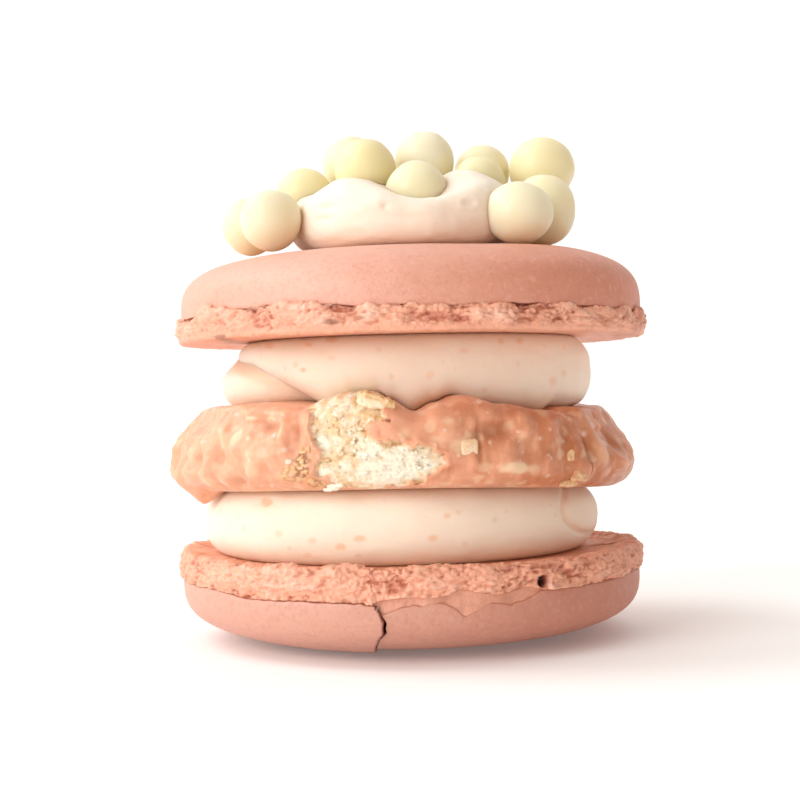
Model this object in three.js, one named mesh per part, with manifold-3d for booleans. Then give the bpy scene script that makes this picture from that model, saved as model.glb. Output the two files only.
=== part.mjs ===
// A tall filled macaron, in millimetres, +Z up, standing on the flat spot of its upturned bottom shell.
// From the table up: bottom shell, a disc of cream, a glazed biscuit with a broken patch, a swirl of
// cream, the top shell, a dollop of cream, and crisp chocolate pearls on and round the dollop.
// The front, with the broken patch and the crack, faces -Y. The origin is on the table, under the
// middle of the bottom shell.
import * as THREE from "three";
import { ParametricGeometry } from "three/addons/geometries/ParametricGeometry.js";
import { mergeVertices } from "three/addons/utils/BufferGeometryUtils.js";
import Module from "manifold-3d";

const wasm = await Module();
wasm.setup();

// Driving dimensions
const GAP = 0.3; // clearance between pieces that touch
const FLAT_RADIUS = 9.5; // flat spot in the middle of a dome
// Each shell: radius and height of its dome, height of the ruffled foot under it, how far the foot
// stands out past the dome and its rim past the flat side, and the exponent of the dome's
// superellipse (2 is an ellipse, more is squarer)
const BOTTOM = { radius: 22.5, dome: 6, foot: 2.3, overhang: 0.2, rim: 0.4, fullness: 3.2 };
const TOP = { radius: 22.7, dome: 6.8, foot: 2.2, overhang: 0.3, rim: 0.1, fullness: 3.5 };
const LOW_SEAT = BOTTOM.dome + BOTTOM.foot; // flat side of the bottom shell, facing up
const HIGH_SEAT = 28.95; // flat side of the top shell, facing down
const TOP_SHELL_X = 0.4;
const BISCUIT = { x: -0.6, radius: 22.7, edge: 4, fullness: 2.6, bottom: 15.25, top: 22.9 };
const LOWER_CREAM = { x: -1.0, radius: 19.35, edge: 3, fullness: 2.4 };
const UPPER_CREAM = { x: 0.65, radius: 17.45, edge: 2.6, fullness: 2.4 };
const UPPER_LOBE = { x: -6.4, radius: 12.1, edge: 2.6, fullness: 2.6 };
const DOLLOP = { x: 0.2, y: -0.3, radius: 11.6, edge: 2.6, fullness: 2.3, height: 5.6 };

// Pearls: place of the middle, width and height. The first twelve show from the front.
const PEARLS = [
  { x: -12.8, y: -6.0, z: 40.8, wide: 5.9, tall: 5.9 },
  { x: -15.3, y: -0.4, z: 40.55, wide: 5.7, tall: 5.7 },
  { x: -10.0, y: 1.5, z: 43.8, wide: 5.6, tall: 5.6 },
  { x: -5.3, y: 4.6, z: 47.2, wide: 6.0, tall: 6.0 },
  { x: -3.8, y: -1.5, z: 45.9, wide: 6.1, tall: 6.1 },
  { x: 2.2, y: 3.0, z: 47.3, wide: 6.1, tall: 6.1 },
  { x: 1.2, y: -4.5, z: 43.2, wide: 6.0, tall: 5.9 },
  { x: 8.2, y: 6.1, z: 46.5, wide: 5.7, tall: 5.7 },
  { x: 7.5, y: 0.5, z: 44.5, wide: 5.5, tall: 5.5 },
  { x: 14.2, y: 3.6, z: 46.3, wide: 6.6, tall: 6.6 },
  { x: 13.75, y: -1.6, z: 41.5, wide: 6.4, tall: 7.0 },
  { x: 10.8, y: -8.0, z: 40.95, wide: 6.5, tall: 5.9 },
  { x: 13.2, y: 7.0, z: 40.8, wide: 5.8, tall: 5.8 },
  { x: 3.0, y: 12.6, z: 41.05, wide: 6.1, tall: 6.0 },
  { x: -7.0, y: 10.3, z: 40.95, wide: 6.0, tall: 5.9 },
];

// Bumps and dips of the biscuit's top face: place, height and half width
const BISCUIT_BUMPS = [
  { x: -2.6, y: -20, height: 0.9, wide: 2.6 },
  { x: 0.9, y: -19, height: -1.2, wide: 1.5 },
  { x: 4.0, y: -20, height: 0.4, wide: 2 },
  { x: 13, y: -16, height: -0.8, wide: 5 },
  { x: 6, y: 17, height: 0.5, wide: 4 },
  { x: -12, y: 14, height: -0.4, wide: 4 },
];
// Peaks and hollows of the dollop's top
const DOLLOP_PEAKS = [
  { x: -6, y: -5, height: 1.2, wide: 3.2 },
  { x: 6, y: -2.6, height: 1.9, wide: 2.4 },
  { x: -2, y: 4, height: 1.7, wide: 4.5 },
  { x: 7, y: 6, height: 0.9, wide: 3 },
  { x: 1.2, y: -7.5, height: -0.9, wide: 3 },
  { x: 1.4, y: -9, height: -1.3, wide: 2.6 },
];

// The broken patch at the biscuit's front: place of its middle, half width, half height
const PATCH = { x: -3.4, z: 19.2, wide: 6.3, tall: 3.7, depth: 0.5, crumb: 0.35 };
// The crack in the bottom shell, the piece left of it that has dropped, and the chipped skin right of it
// (angles in degrees round the standing macaron, with the front at -90)
const CRACK = { x: -2.7, z: 3, wide: 0.5, length: 6.5, depth: 1.2 };
const DROPPED = { crack: -97, end: -190, drop: 0.42 };
const CHIP = { from: -97, to: -60, low: 0.5, notch: -79, notchDepth: 1.2, notchWide: 5 };
const HOLE = { angle: -60, z: 6.9, radius: 0.55, depth: 1.8 };

const COLOURS = {
  shell: 0xe3a08a,
  cream: 0xf6dcc0,
  biscuit: 0xe09a72,
  topping: 0xf8dfca,
  pearl: 0xf1e4b0,
};

const degrees = THREE.MathUtils.degToRad;
const mix = THREE.MathUtils.lerp;
const smooth = THREE.MathUtils.smoothstep;

// A fixed random value from -1 to 1 for each point of a whole-number grid
function gridValue(i, j, k) {
  const s = Math.sin(i * 127.1 + j * 311.7 + k * 74.7) * 43758.5453;
  return 2 * (s - Math.floor(s)) - 1;
}

// Smooth noise from -1 to 1: the grid values, blended between the eight corners round a point
function noise(x, y, z) {
  const [i, j, k] = [x, y, z].map(Math.floor);
  const [u, v, w] = [x - i, y - j, z - k].map((t) => t * t * (3 - 2 * t));
  const edge = (b, c) => mix(gridValue(i, j + b, k + c), gridValue(i + 1, j + b, k + c), u);
  return mix(mix(edge(0, 0), edge(1, 0), v), mix(edge(0, 1), edge(1, 1), v), w);
}

// Sum of round bumps at a place on a face
function bumps(list, x, y) {
  const one = (b) => b.height * Math.exp(-((x - b.x) ** 2 + (y - b.y) ** 2) / (2 * b.wide ** 2));
  return list.reduce((sum, b) => sum + one(b), 0);
}

// A closed surface of rows round the Z axis. place(angle, row) gives [x, y, z]. The first row is the
// middle of the underside and the last row is the middle of the top, so each closes to a point.
function closedSurface(segments, rows, place) {
  const surface = (u, v, target) => target.set(...place(2 * Math.PI * u, Math.round(v * rows)));
  return welded(new ParametricGeometry(surface, segments, rows));
}

function welded(geometry) {
  geometry.deleteAttribute("normal");
  geometry.deleteAttribute("uv");
  return mergeVertices(geometry, 1e-4);
}

function solidOf(geometry) {
  const vertProperties = geometry.attributes.position.array;
  const triVerts = new Uint32Array(geometry.index.array);
  return new wasm.Manifold(new wasm.Mesh({ numProp: 3, vertProperties, triVerts }));
}

function geometryOf(solid) {
  const { vertProperties, triVerts } = solid.getMesh();
  const geometry = new THREE.BufferGeometry();
  geometry.setAttribute("position", new THREE.BufferAttribute(vertProperties, 3));
  geometry.setIndex(new THREE.BufferAttribute(triVerts, 1));
  return geometry;
}

// Height of a shell's dome over its foot at a distance from the axis: a superellipse with a flat middle
function domeHeight({ radius, dome, fullness }, r) {
  const share = Math.min(r / radius, 1) ** fullness;
  return r <= FLAT_RADIUS ? dome : dome * (1 - share) ** (1 / fullness);
}

// Radius of a shell's dome at a height over its foot
function domeRadius({ radius, dome, fullness }, z) {
  const share = Math.min(Math.max(z, 0) / dome, 1) ** fullness;
  return radius * (1 - share) ** (1 / fullness);
}

// A shell with its flat side at z = 0, a ruffled foot and a dome of smooth skin over it. skinEdge(angle)
// is how far over the foot the skin begins, and swell(angle) moves the skin out and up.
function shell(size, { seed, skinEdge, swell }) {
  const { radius, foot, dome, rim } = size;
  const footRadius = radius + size.overhang;
  const ruffleDepth = 0.4;
  const ruffleSize = 1.9;
  const recess = 0.5; // how far the crumb under the skin is set back
  const baseRows = [0, 20.5].map((r) => [r, 0]);
  const footRows = [
    [footRadius - 1.1, -rim],
    [footRadius - 0.15, 0.2 * foot - 0.6 * rim],
    [footRadius + 0.05, 0.5 * foot],
    [footRadius - 0.1, 0.8 * foot],
  ];
  const skinRadii = [22.1, 20.9, 18.8, 15.6, FLAT_RADIUS, 0];
  const rows = baseRows.length + footRows.length + 3 + skinRadii.length - 1;
  const place = (angle, row) => {
    const [c, s] = [Math.cos(angle), Math.sin(angle)];
    const edge = skinEdge(angle);
    let [r, z] = [0, 0];
    let ruffle = 0;
    if (row < baseRows.length) {
      [r, z] = baseRows[row];
    } else if (row < baseRows.length + footRows.length) {
      [r, z] = footRows[row - baseRows.length];
      const at = footRadius / ruffleSize;
      ruffle = ruffleDepth * noise(c * at + seed, s * at, z / 1.1 + seed);
      z += row === baseRows.length ? 0.5 * rim * noise(c * at, s * at + seed, 2) : 0;
    } else {
      const step = row - baseRows.length - footRows.length;
      if (step === 0) {
        [r, z] = [radius - recess, foot];
      } else if (step === 1) {
        [r, z] = [domeRadius(size, edge) - recess, foot + edge];
      } else if (step === 2) {
        [r, z] = [domeRadius(size, edge + 0.15), foot + edge + 0.15];
      } else {
        r = Math.min(skinRadii[step - 3], domeRadius(size, edge + 0.15 * (step - 1)));
        z = foot + domeHeight(size, r);
      }
      if (step > 1) {
        const share = smooth(r, FLAT_RADIUS, 17) * swell(angle);
        r += share * (r / radius) ** 4;
        z = Math.min(z + share * (1 - (r / radius) ** 4), foot + dome);
      }
    }
    return [(r + ruffle) * c, (r + ruffle) * s, z];
  };
  return closedSurface(80, rows, place);
}

// How far an angle lies inside the span between two others: 0 outside, 1 well inside
function within(angle, from, to, soft) {
  const middle = degrees((from + to) / 2);
  const half = degrees(Math.abs(to - from) / 2);
  const off = Math.abs(Math.atan2(Math.sin(angle - middle), Math.cos(angle - middle)));
  return 1 - smooth(off, half - degrees(soft), half);
}

function topShell() {
  const seed = 7.3;
  const wavy = (a) => 0.2 * noise(9 * Math.cos(a) + seed, 9 * Math.sin(a), 2);
  const skinEdge = (a) => 0.1 + wavy(a) + 0.5 * within(a, -170, -110, 20);
  return shell(TOP, { seed, skinEdge, swell: () => 0 });
}

// The bottom shell is made as a shell with its dome up, and is turned over about X when it is placed,
// so an angle round the standing macaron is its negative here.
function bottomShell() {
  const seed = 3.1;
  const skinEdge = (a) => {
    const even = 0.2 - 0.2 * Math.cos(a) + 0.1 * noise(8 * Math.cos(a) + seed, 8 * Math.sin(a), 5);
    const notch = CHIP.notchDepth * within(-a, CHIP.notch - CHIP.notchWide, CHIP.notch + CHIP.notchWide, 4);
    return even + within(-a, CHIP.from, CHIP.to, 6) * (CHIP.low + notch);
  };
  const swell = (a) => {
    const at = -THREE.MathUtils.radToDeg(a);
    return at > DROPPED.crack ? 0 : DROPPED.drop * smooth(at, DROPPED.end, DROPPED.crack);
  };
  const body = solidOf(shell(BOTTOM, { seed, skinEdge, swell }));
  // The crack is cut by a thin disc that stands across the skin and bites into it
  const bladeRadius = (CRACK.length ** 2 / 4 + CRACK.depth ** 2) / (2 * CRACK.depth);
  const blade = new THREE.CylinderGeometry(bladeRadius, bladeRadius, CRACK.wide, 24);
  const reach = domeRadius(BOTTOM, BOTTOM.dome - CRACK.z);
  const out45 = (bladeRadius - CRACK.depth) * Math.SQRT1_2;
  blade.rotateZ(Math.PI / 2);
  blade.translate(CRACK.x, reach * Math.cos(CRACK.x / reach) + out45, LOW_SEAT - CRACK.z + out45);
  const bubble = new THREE.SphereGeometry(HOLE.radius, 8, 6);
  bubble.scale(HOLE.depth / HOLE.radius, 1, 1);
  bubble.rotateZ(degrees(-HOLE.angle));
  const out = BOTTOM.radius + BOTTOM.overhang;
  bubble.translate(out * Math.cos(degrees(HOLE.angle)), -out * Math.sin(degrees(HOLE.angle)), LOW_SEAT - HOLE.z);
  return geometryOf(body.subtract(solidOf(welded(blade))).subtract(solidOf(welded(bubble))));
}

// Underside and top of the biscuit. Its glaze sags at the left and right ends.
function biscuitBottom(x, y) {
  const r = Math.hypot(x - BISCUIT.x, y);
  const side = ((x - BISCUIT.x) / Math.max(r, 1)) ** 2;
  return BISCUIT.bottom - (x < 0 ? 2.1 : 1.3) * side * smooth(r, 14, 22);
}

function biscuitTop(x, y) {
  const sag = 0.6 * smooth(-x, 16, 22) + 0.9 * smooth(x, 15, 20);
  return BISCUIT.top - sag + bumps(BISCUIT_BUMPS, x, y) + 0.15 * noise(x / 5, y / 5, 3);
}

// A disc with a bulging edge between a floor and a ceiling, both functions of x and y.
// relief(x, y, z) moves the bulging edge out.
function disc({ x: cx, y: cy = 0, radius, edge, fullness }, floor, ceiling, relief, segments, edgeRows) {
  const inner = [0, 0.45, 0.85];
  const rows = 2 * inner.length + edgeRows - 1;
  const power = (t) => Math.sign(t) * Math.abs(t) ** (2 / fullness);
  const place = (angle, row) => {
    const [c, s] = [Math.cos(angle), Math.sin(angle)];
    const flat = row < inner.length ? row : rows - row;
    if (flat < inner.length) {
      const r = inner[flat] * (radius - edge);
      const [x, y] = [cx + r * c, cy + r * s];
      return [x, y, row < inner.length ? floor(x, y) : ceiling(x, y)];
    }
    const tilt = Math.PI * ((row - inner.length) / (edgeRows - 1) - 0.5);
    const r = radius - edge + edge * power(Math.cos(tilt));
    const [x, y] = [cx + r * c, cy + r * s];
    const z = mix(floor(x, y), ceiling(x, y), 0.5 + 0.5 * power(Math.sin(tilt)));
    const out = relief(x, y, z) * Math.cos(tilt);
    return [x + out * c, y + out * s, z];
  };
  return closedSurface(segments, rows, place);
}

function lowerCream() {
  const floor = () => LOW_SEAT + GAP;
  const ceiling = (x, y) => biscuitBottom(x, y) - GAP;
  const relief = (x, y, z) => 0.15 * noise(x / 7, y / 7, z / 3);
  return disc(LOWER_CREAM, floor, ceiling, relief, 48, 7);
}

// The biscuit's upper edge is rounded off at the left end and worn to a slope at the right end
function biscuitWear(x, z) {
  const left = smooth(-x, 13, 21) * (2.2 * smooth(z, 18.5, 23) - 0.4);
  const right = smooth(x, 12, 20) * (2.4 * smooth(z, 16, 22) - 0.2);
  return left + right;
}

function biscuit() {
  const relief = (x, y, z) => {
    const ends = biscuitWear(x, z);
    const lumps = 0.45 * noise(x / 4.5, y / 4.5, z / 4) + 0.2 * noise(x / 2, y / 2, z / 2) - ends;
    const off = Math.hypot((x - PATCH.x) / PATCH.wide, (z - PATCH.z) / PATCH.tall);
    const patch = y < 0 ? 1 - smooth(off, 0.85, 1.05) : 0;
    return mix(lumps, PATCH.crumb * noise(x / 1.1, y / 1.1, z / 1.1) - PATCH.depth, patch);
  };
  return disc(BISCUIT, biscuitBottom, biscuitTop, relief, 80, 8);
}

// The upper cream is one rope of piping that ends over its own start: a wide disc whose underside lifts
// at the left, and the lobe that shows below it there.
function upperCream() {
  const floor = (x, y) => biscuitTop(x, y) + GAP;
  const ceiling = () => HIGH_SEAT - GAP;
  const lifted = (x, y) => floor(x, y) + 4.4 * smooth(-x, 8.6, 17) * smooth(-y, -9, -2);
  const relief = (x, y, z) => 0.15 * noise(x / 6, y / 6, z / 3);
  const rope = solidOf(disc(UPPER_CREAM, lifted, ceiling, relief, 48, 7));
  const leaning = (x, y, z) => relief(x, y, z) - 2 * smooth(z, 25, 28.4);
  const lobe = solidOf(disc(UPPER_LOBE, floor, () => HIGH_SEAT - 2 * GAP, leaning, 32, 6));
  return geometryOf(rope.add(lobe));
}

// Height of the top shell's dome under the dollop and the pearls
function topDome(x, y) {
  return HIGH_SEAT + TOP.foot + domeHeight(TOP, Math.hypot(x - TOP_SHELL_X, y));
}

function pearlMesh({ x, y, z, wide, tall }, spare = 0) {
  const geometry = welded(new THREE.SphereGeometry(1, 12, 7));
  const mesh = new THREE.Mesh(geometry.rotateX(Math.PI / 2), matt(COLOURS.pearl, 0.35));
  mesh.scale.set(wide / 2 + spare, wide / 2 + spare, tall / 2 + spare);
  mesh.position.set(x, y, z);
  mesh.updateMatrix();
  return mesh;
}

// The dollop follows the dome below it, and has a pocket for each pearl that sinks into it
function dollop() {
  const floor = (x, y) => topDome(x, y) + GAP;
  const ceiling = (x, y) => topDome(0, 0) + DOLLOP.height + bumps(DOLLOP_PEAKS, x, y);
  const relief = (x, y, z) => 0.25 * noise(x / 5, y / 5, z / 4);
  const mound = solidOf(disc(DOLLOP, floor, ceiling, relief, 36, 6));
  const pocket = (pearl) => {
    const mesh = pearlMesh(pearl, GAP);
    return solidOf(mesh.geometry.applyMatrix4(mesh.matrix));
  };
  return geometryOf(PEARLS.reduce((solid, pearl) => solid.subtract(pocket(pearl)), mound));
}

function matt(color, roughness) {
  return new THREE.MeshStandardMaterial({ color, roughness, metalness: 0 });
}

const macaron = new THREE.Group();

function add(name, geometry, color, roughness) {
  const mesh = new THREE.Mesh(geometry, matt(color, roughness));
  mesh.name = name;
  macaron.add(mesh);
  return mesh;
}

const bottom = add("shell_bottom", bottomShell(), COLOURS.shell, 0.6);
bottom.rotation.x = Math.PI;
bottom.position.z = LOW_SEAT;
add("cream_lower", lowerCream(), COLOURS.cream, 0.5);
add("biscuit", biscuit(), COLOURS.biscuit, 0.4);
add("cream_upper", upperCream(), COLOURS.cream, 0.5);
add("shell_top", topShell(), COLOURS.shell, 0.6).position.set(TOP_SHELL_X, 0, HIGH_SEAT);
add("cream_dollop", dollop(), COLOURS.topping, 0.5);
PEARLS.forEach((pearl, i) => {
  const mesh = pearlMesh(pearl);
  mesh.name = `pearl_${String(i + 1).padStart(2, "0")}`;
  macaron.add(mesh);
});

export default macaron;
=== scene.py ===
# A tall filled macaron: fine surfaces in place of the plain solids, crumbs, finishes and a pale table
import math

import bpy
import numpy as np
from bpy.props import FloatProperty, FloatVectorProperty, PointerProperty
from mathutils import Matrix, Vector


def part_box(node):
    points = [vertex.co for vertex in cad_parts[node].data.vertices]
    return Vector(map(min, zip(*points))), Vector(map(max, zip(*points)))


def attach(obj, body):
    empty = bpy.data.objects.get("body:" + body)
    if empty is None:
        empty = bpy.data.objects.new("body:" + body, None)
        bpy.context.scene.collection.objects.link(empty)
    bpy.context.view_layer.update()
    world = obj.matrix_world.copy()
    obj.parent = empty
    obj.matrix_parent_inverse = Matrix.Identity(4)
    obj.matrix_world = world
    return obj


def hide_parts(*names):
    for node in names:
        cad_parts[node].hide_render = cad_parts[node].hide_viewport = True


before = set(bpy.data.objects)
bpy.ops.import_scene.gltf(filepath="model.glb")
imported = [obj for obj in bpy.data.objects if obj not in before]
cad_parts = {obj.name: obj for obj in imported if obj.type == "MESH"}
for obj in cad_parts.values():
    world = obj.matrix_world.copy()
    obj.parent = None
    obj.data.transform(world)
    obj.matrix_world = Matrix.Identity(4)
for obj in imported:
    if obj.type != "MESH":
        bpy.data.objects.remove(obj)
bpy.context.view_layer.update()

bl_info = {
    "name": "Filled Macaron",
    "version": (1, 0, 0),
    "blender": (4, 5, 0),
    "location": "View3D > Sidebar > Macaron",
    "description": "Builds a tall filled macaron, piece by piece, on a pale table",
    "category": "Add Mesh",
}

# Sizes, in millimetres, with the front at -Y. Angles round the macaron are in degrees, front at -90.
MM = 0.001
GAP = 0.3
PRESSED = 0.05  # how far the soft creams are pressed into what they touch
LOW_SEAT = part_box("cream_lower")[0][2] / MM - GAP
HIGH_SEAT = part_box("cream_upper")[1][2] / MM + GAP
TOP_SHELL_X = 0.4
# The shells: radius and height of the dome, height of the foot, how far the foot stands out past the
# dome and its rim past the flat side, how full the dome is, and how round the foot's corner is
BOTTOM = {"radius": 22.5, "dome": 6.0, "foot": 2.3, "overhang": 0.2, "rim": 0.4, "fullness": 3.2,
          "corner": 0.7}
TOP = {"radius": 22.7, "dome": 6.8, "foot": 2.2, "overhang": 0.3, "rim": 0.1, "fullness": 3.5,
       "corner": 0.35}
FLAT_RADIUS = 9.5  # radius of the flat middle of both domes
FLAT_BLEND = 3.5  # how wide the ring is where flat turns to round
SETTLED = 0.42  # how far the front of the top shell's dome has settled
RIM_STARTS = (20.2, 21.4)  # the radii between which the flat side falls to the rim
FOOT_BULGE = 0.05  # how far the foot bulges half way up
FOOT_LEAN = 0.12  # how much narrower the foot is at its top
FOOT_STARTS = (17.5, 20.5)  # the radii between which the flat side turns rough
# Round the skin's lower edge: how far back each row lies, and how far over the edge
SKIN_LIP = [(0.12, -0.02), (0.04, 0.0), (0.0, 0.1)]
# Rows of points along a shell's flat side, the foot's corner, the foot, the groove and the dome
FLAT_ROWS, CORNER_ROWS, FOOT_ROWS, GROOVE_ROWS, DOME_ROWS = 18, 9, 28, 10, 44
# Columns of points round a piece, and where they stand closer together: how much, angle, width
SHELL_COLUMNS = 800
CREAM_COLUMNS = 520
TOWARDS_FRONT = (0.5, -90, 60)
# The discs: middle, radius, how far in the bulging edge begins, how full it is and how tall
BISCUIT = {"x": -0.6, "y": 0.0, "radius": 22.7, "edge": 4.0, "fullness": 2.6, "tall": 7.6}
BISCUIT_BOTTOM = 15.25
BISCUIT_TOP = 22.9
LOWER_CREAM = {"x": -1.0, "y": 0.0, "radius": 19.35, "edge": 3.0, "fullness": 2.4, "tall": 6.5}
UPPER_CREAM = {"x": 0.65, "y": 0.0, "radius": 17.45, "edge": 2.6, "fullness": 2.4, "tall": 6.0}
UPPER_LOBE = {"x": -6.4, "y": 0.0, "radius": 12.1, "edge": 2.6, "fullness": 2.6, "tall": 6.0}
DOLLOP = {"x": 0.2, "y": -0.3, "radius": 11.6, "edge": 2.6, "fullness": 2.3, "tall": 5.5}
DOLLOP_HEIGHT = 5.6

# Heights of the bottom shell's skin edge and of its foot's lower edge round the macaron (angle, height)
LOW_SKIN_EDGE = [
    (-162, 6.05), (-141, 6.1), (-131, 5.65), (-113, 5.75), (-101, 5.6), (-97.6, 5.5), (-97.3, 4.7),
    (-95, 4.9), (-92.4, 5.25), (-90, 5.5), (-88.3, 5.4), (-86.3, 5.6), (-83.2, 5.55), (-81, 5.15),
    (-78.7, 4.3), (-76.7, 4.7), (-75.5, 4.9), (-72.7, 5.5), (-70, 5.3), (-67.7, 5.05), (-66, 5.3),
    (-63, 5.6), (-60, 6.2), (-49, 6.15), (-21, 6.45), (10, 6.1), (90, 6.0), (150, 6.1),
]
LOW_FOOT_EDGE = [
    (-99, 5.7), (-97, 6.0), (-92, 6.25), (-85, 6.1), (-82.3, 6.4), (-79.7, 6.75), (-76, 6.4),
    (-71, 6.1), (-68, 6.3), (-63.7, 6.65), (-60, 6.3),
]
# Height of the top shell's skin edge round the macaron
HIGH_SKIN_EDGE = [
    (-165, 31.1), (-154, 31.1), (-143, 31.8), (-135, 31.3), (-121, 31.6), (-112, 31.5), (-101, 31.1),
    (-61, 31.15), (-33, 31.0), (40, 31.2), (120, 31.0),
]
# Between these angles the bottom shell's skin is chipped and its foot shows bare
CHIPPED = (-99, -60)
# The crack in the bottom shell's skin (height, x, half width), and how far the piece left of it has
# dropped, most at the first angle and not at the second
CRACK = [
    (5.5, -3.3, 0.06), (4.6, -2.8, 0.09), (4.2, -2.68, 0.13), (3.8, -2.6, 0.16), (3.1, -2.56, 0.17),
    (2.85, -2.72, 0.07), (2.3, -3.1, 0.05), (1.7, -3.3, 0.05), (0.9, -3.4, 0.04),
]
CRACK_DEPTH = 1.5
DROPPED = {"crack": -97.0, "end": -190.0, "drop": 0.42}
# Round hole in the bottom shell's foot
HOLE = {"x": 11.45, "z": 6.95, "radius": 0.58, "depth": 1.6}
# Slivers on the bottom shell's seat: x, y, half length, turn in radians
SLIVERS = [(18.0, -3.2, 1.0, 0.2), (19.5, -2.0, 0.8, -0.3), (19.9, -5.0, 0.7, 0.9)]
# Baked spots of the top shell's foot: x, z, half width, half height
BAKED_SPOTS = [(-6.5, 29.8, 0.8, 0.3), (-4.1, 30.05, 0.5, 0.25), (-16.9, 29.0, 0.8, 0.3)]
# How far the biscuit's top rises and falls round its rim (angle, height)
BISCUIT_RIM = [
    (-170, -0.5), (-150, -0.1), (-130, 0.15), (-115, -0.15), (-109, 0.5), (-105, 0.95), (-98, 0.95),
    (-93.5, 0.25), (-87, -0.8), (-80.5, -0.05), (-74.5, 0.5), (-64, -0.4), (-52, -1.0),
    (-41.5, -1.25), (-37.5, -0.7), (-28, -0.9), (0, -0.8), (60, 0.3), (95, -0.2), (130, 0.2),
]
# Drips of glaze under the biscuit's rim: depth, angle, width in degrees
DRIPS = [(1.45, -160, 4.2), (0.9, 155, 16)]
# Peaks and hollows of the dollop's upper side: x, y, height, width
DOLLOP_PEAKS = [
    (-5, -6, 1.0, 2.6), (6, -2.6, 1.9, 2.4), (-2, 4, 1.7, 4.5), (7, 6, 0.9, 3), (1.2, -7.5, -0.9, 3),
    (1.4, -9.0, -1.3, 2.6), (-9.5, -5, -0.9, 2.4),
]
# A dimple with a raised ring in the dollop's front
DIMPLE = {"x": 5.97, "z": 41.24}
# Soft dents of the dollop's front: x, y, z, half width, half height, depth
DOLLOP_DENTS = [
    (-7.7, -9.5, 41.3, 1.3, 0.35, 0.3), (-7.9, -9.2, 40.2, 1.1, 0.3, 0.2),
    (-1.9, -11.6, 41.0, 0.35, 0.3, 0.3), (3.6, -11.2, 42.4, 2.2, 0.3, 0.2),
    (-5.2, -10.8, 43.2, 1.2, 0.3, 0.15), (0.5, -11.9, 39.9, 2.0, 0.3, 0.12),
]
# The broken patch at the biscuit's front, made of ellipses: x, z, half width, half height
PATCH = [(-5.4, 21.3, 3.3, 3.2), (-2.9, 17.6, 5.4, 2.15)]
# Golden-brown crumbs that stick to the glaze left of the patch: x, z, half width, half height,
# strength
CLUMP = [(-9.4, 17.6, 1.0, 1.7, 1.0), (-10.3, 16.9, 1.2, 1.3, 0.6), (-8.3, 15.9, 1.2, 0.6, 0.7)]
PATCH_ISLAND = (-1.0, 20.3, 2.5, 0.95)
PATCH_DEPTH = 0.5
GOLDEN_FROM = (19.0, 20.4)  # the heights between which the broken biscuit turns golden
# The slab of biscuit that sticks up at the patch's top, and the painted shadow left of it
SLAB = {"x": -2.75, "z": 22.85, "reach": (0.75, 1.65, 0.68), "thins": 0.16, "falls": 0.27}
SLAB_SHADOW = (-4.75, 22.9, 0.4, 0.7)
# The notch in the glaze near the right end, and the heights between which it starts and ends
NOTCH = {"x": 16.2, "starts": (15.4, 16.2), "ends": (18.8, 19.6)}
# Soft lumps and dents of the glaze at the front: x, z, half width, half height, how far out
GLAZE_FORMS = [
    (-13.8, 16.9, 0.8, 0.8, 0.4), (-12.2, 20.9, 0.75, 0.5, -0.4), (-11.0, 20.3, 0.55, 1.5, 0.4),
    (-15.2, 15.9, 0.5, 0.45, -0.4), (-15.5, 20.0, 0.5, 1.0, 0.2), (-18.2, 17.4, 0.5, 1.5, 0.35),
    (-17.2, 18.6, 0.45, 1.8, -0.3), (-19.6, 15.6, 0.6, 0.8, 0.25), (-20.9, 20.0, 0.5, 0.8, 0.3),
    (-17.7, 21.4, 0.35, 0.8, 0.25), (-18.7, 19.7, 0.35, 0.8, 0.25), (-20.3, 17.0, 0.4, 1.2, 0.25),
    (-19.3, 17.8, 0.3, 1.4, -0.25), (-13.6, 21.7, 0.9, 0.3, 0.25), (-13.4, 15.0, 0.7, 0.4, 0.25),
    (-10.9, 16.3, 0.6, 0.5, 0.2), (-9.7, 20.5, 0.3, 1.3, -0.25), (-14.1, 18.6, 0.5, 0.6, 0.15),
    (-12.5, 18.6, 0.5, 0.9, -0.15), (-16.3, 21.0, 0.4, 0.6, -0.15), (3.2, 20.8, 1.6, 1.6, 0.3),
    (5.9, 19.3, 0.3, 1.5, -0.35), (7.6, 20.1, 1.5, 0.8, -0.45), (9.2, 21.4, 1.2, 0.5, 0.25),
    (12.6, 20.3, 1.0, 1.0, 0.25), (9.3, 16.8, 2.0, 0.7, 0.2), (18.2, 20.3, 0.7, 0.6, 0.3),
    (19.6, 17.0, 0.8, 1.0, 0.4), (17.6, 17.6, 0.9, 1.6, 0.25),
]
# Pale bits that show through the glaze: x, z, half width, half height, strength
GLAZE_BITS = [
    (8.9, 16.9, 1.7, 0.65, 1.0), (6.3, 17.1, 0.7, 0.5, 0.5), (-15.45, 20.0, 0.45, 0.9, 0.9),
    (-13.7, 16.9, 0.7, 0.7, 0.45), (-18.4, 15.8, 0.8, 0.5, 0.6), (3.9, 19.0, 0.9, 0.7, 0.5),
    (2.2, 19.5, 0.9, 0.5, 0.4), (17.6, 17.8, 1.0, 1.5, 0.35), (-16.8, 19.4, 0.3, 1.8, 0.3),
    (6.0, 22.7, 0.35, 0.25, 0.8), (3.0, 15.7, 0.8, 0.3, 0.5), (5.6, 15.9, 0.4, 0.3, 0.6),
    (-12.8, 18.7, 0.5, 0.5, 0.35), (11.8, 21.6, 0.6, 0.5, 0.35), (-14.0, 21.6, 0.7, 0.3, 0.35),
]
# Amber places of the glaze, round the caramel bits at the right: x, z, half width, half height, strength
AMBER = [(15.2, 17.9, 1.3, 1.7, 0.9), (15.0, 15.9, 1.5, 0.7, 0.7)]
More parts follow.
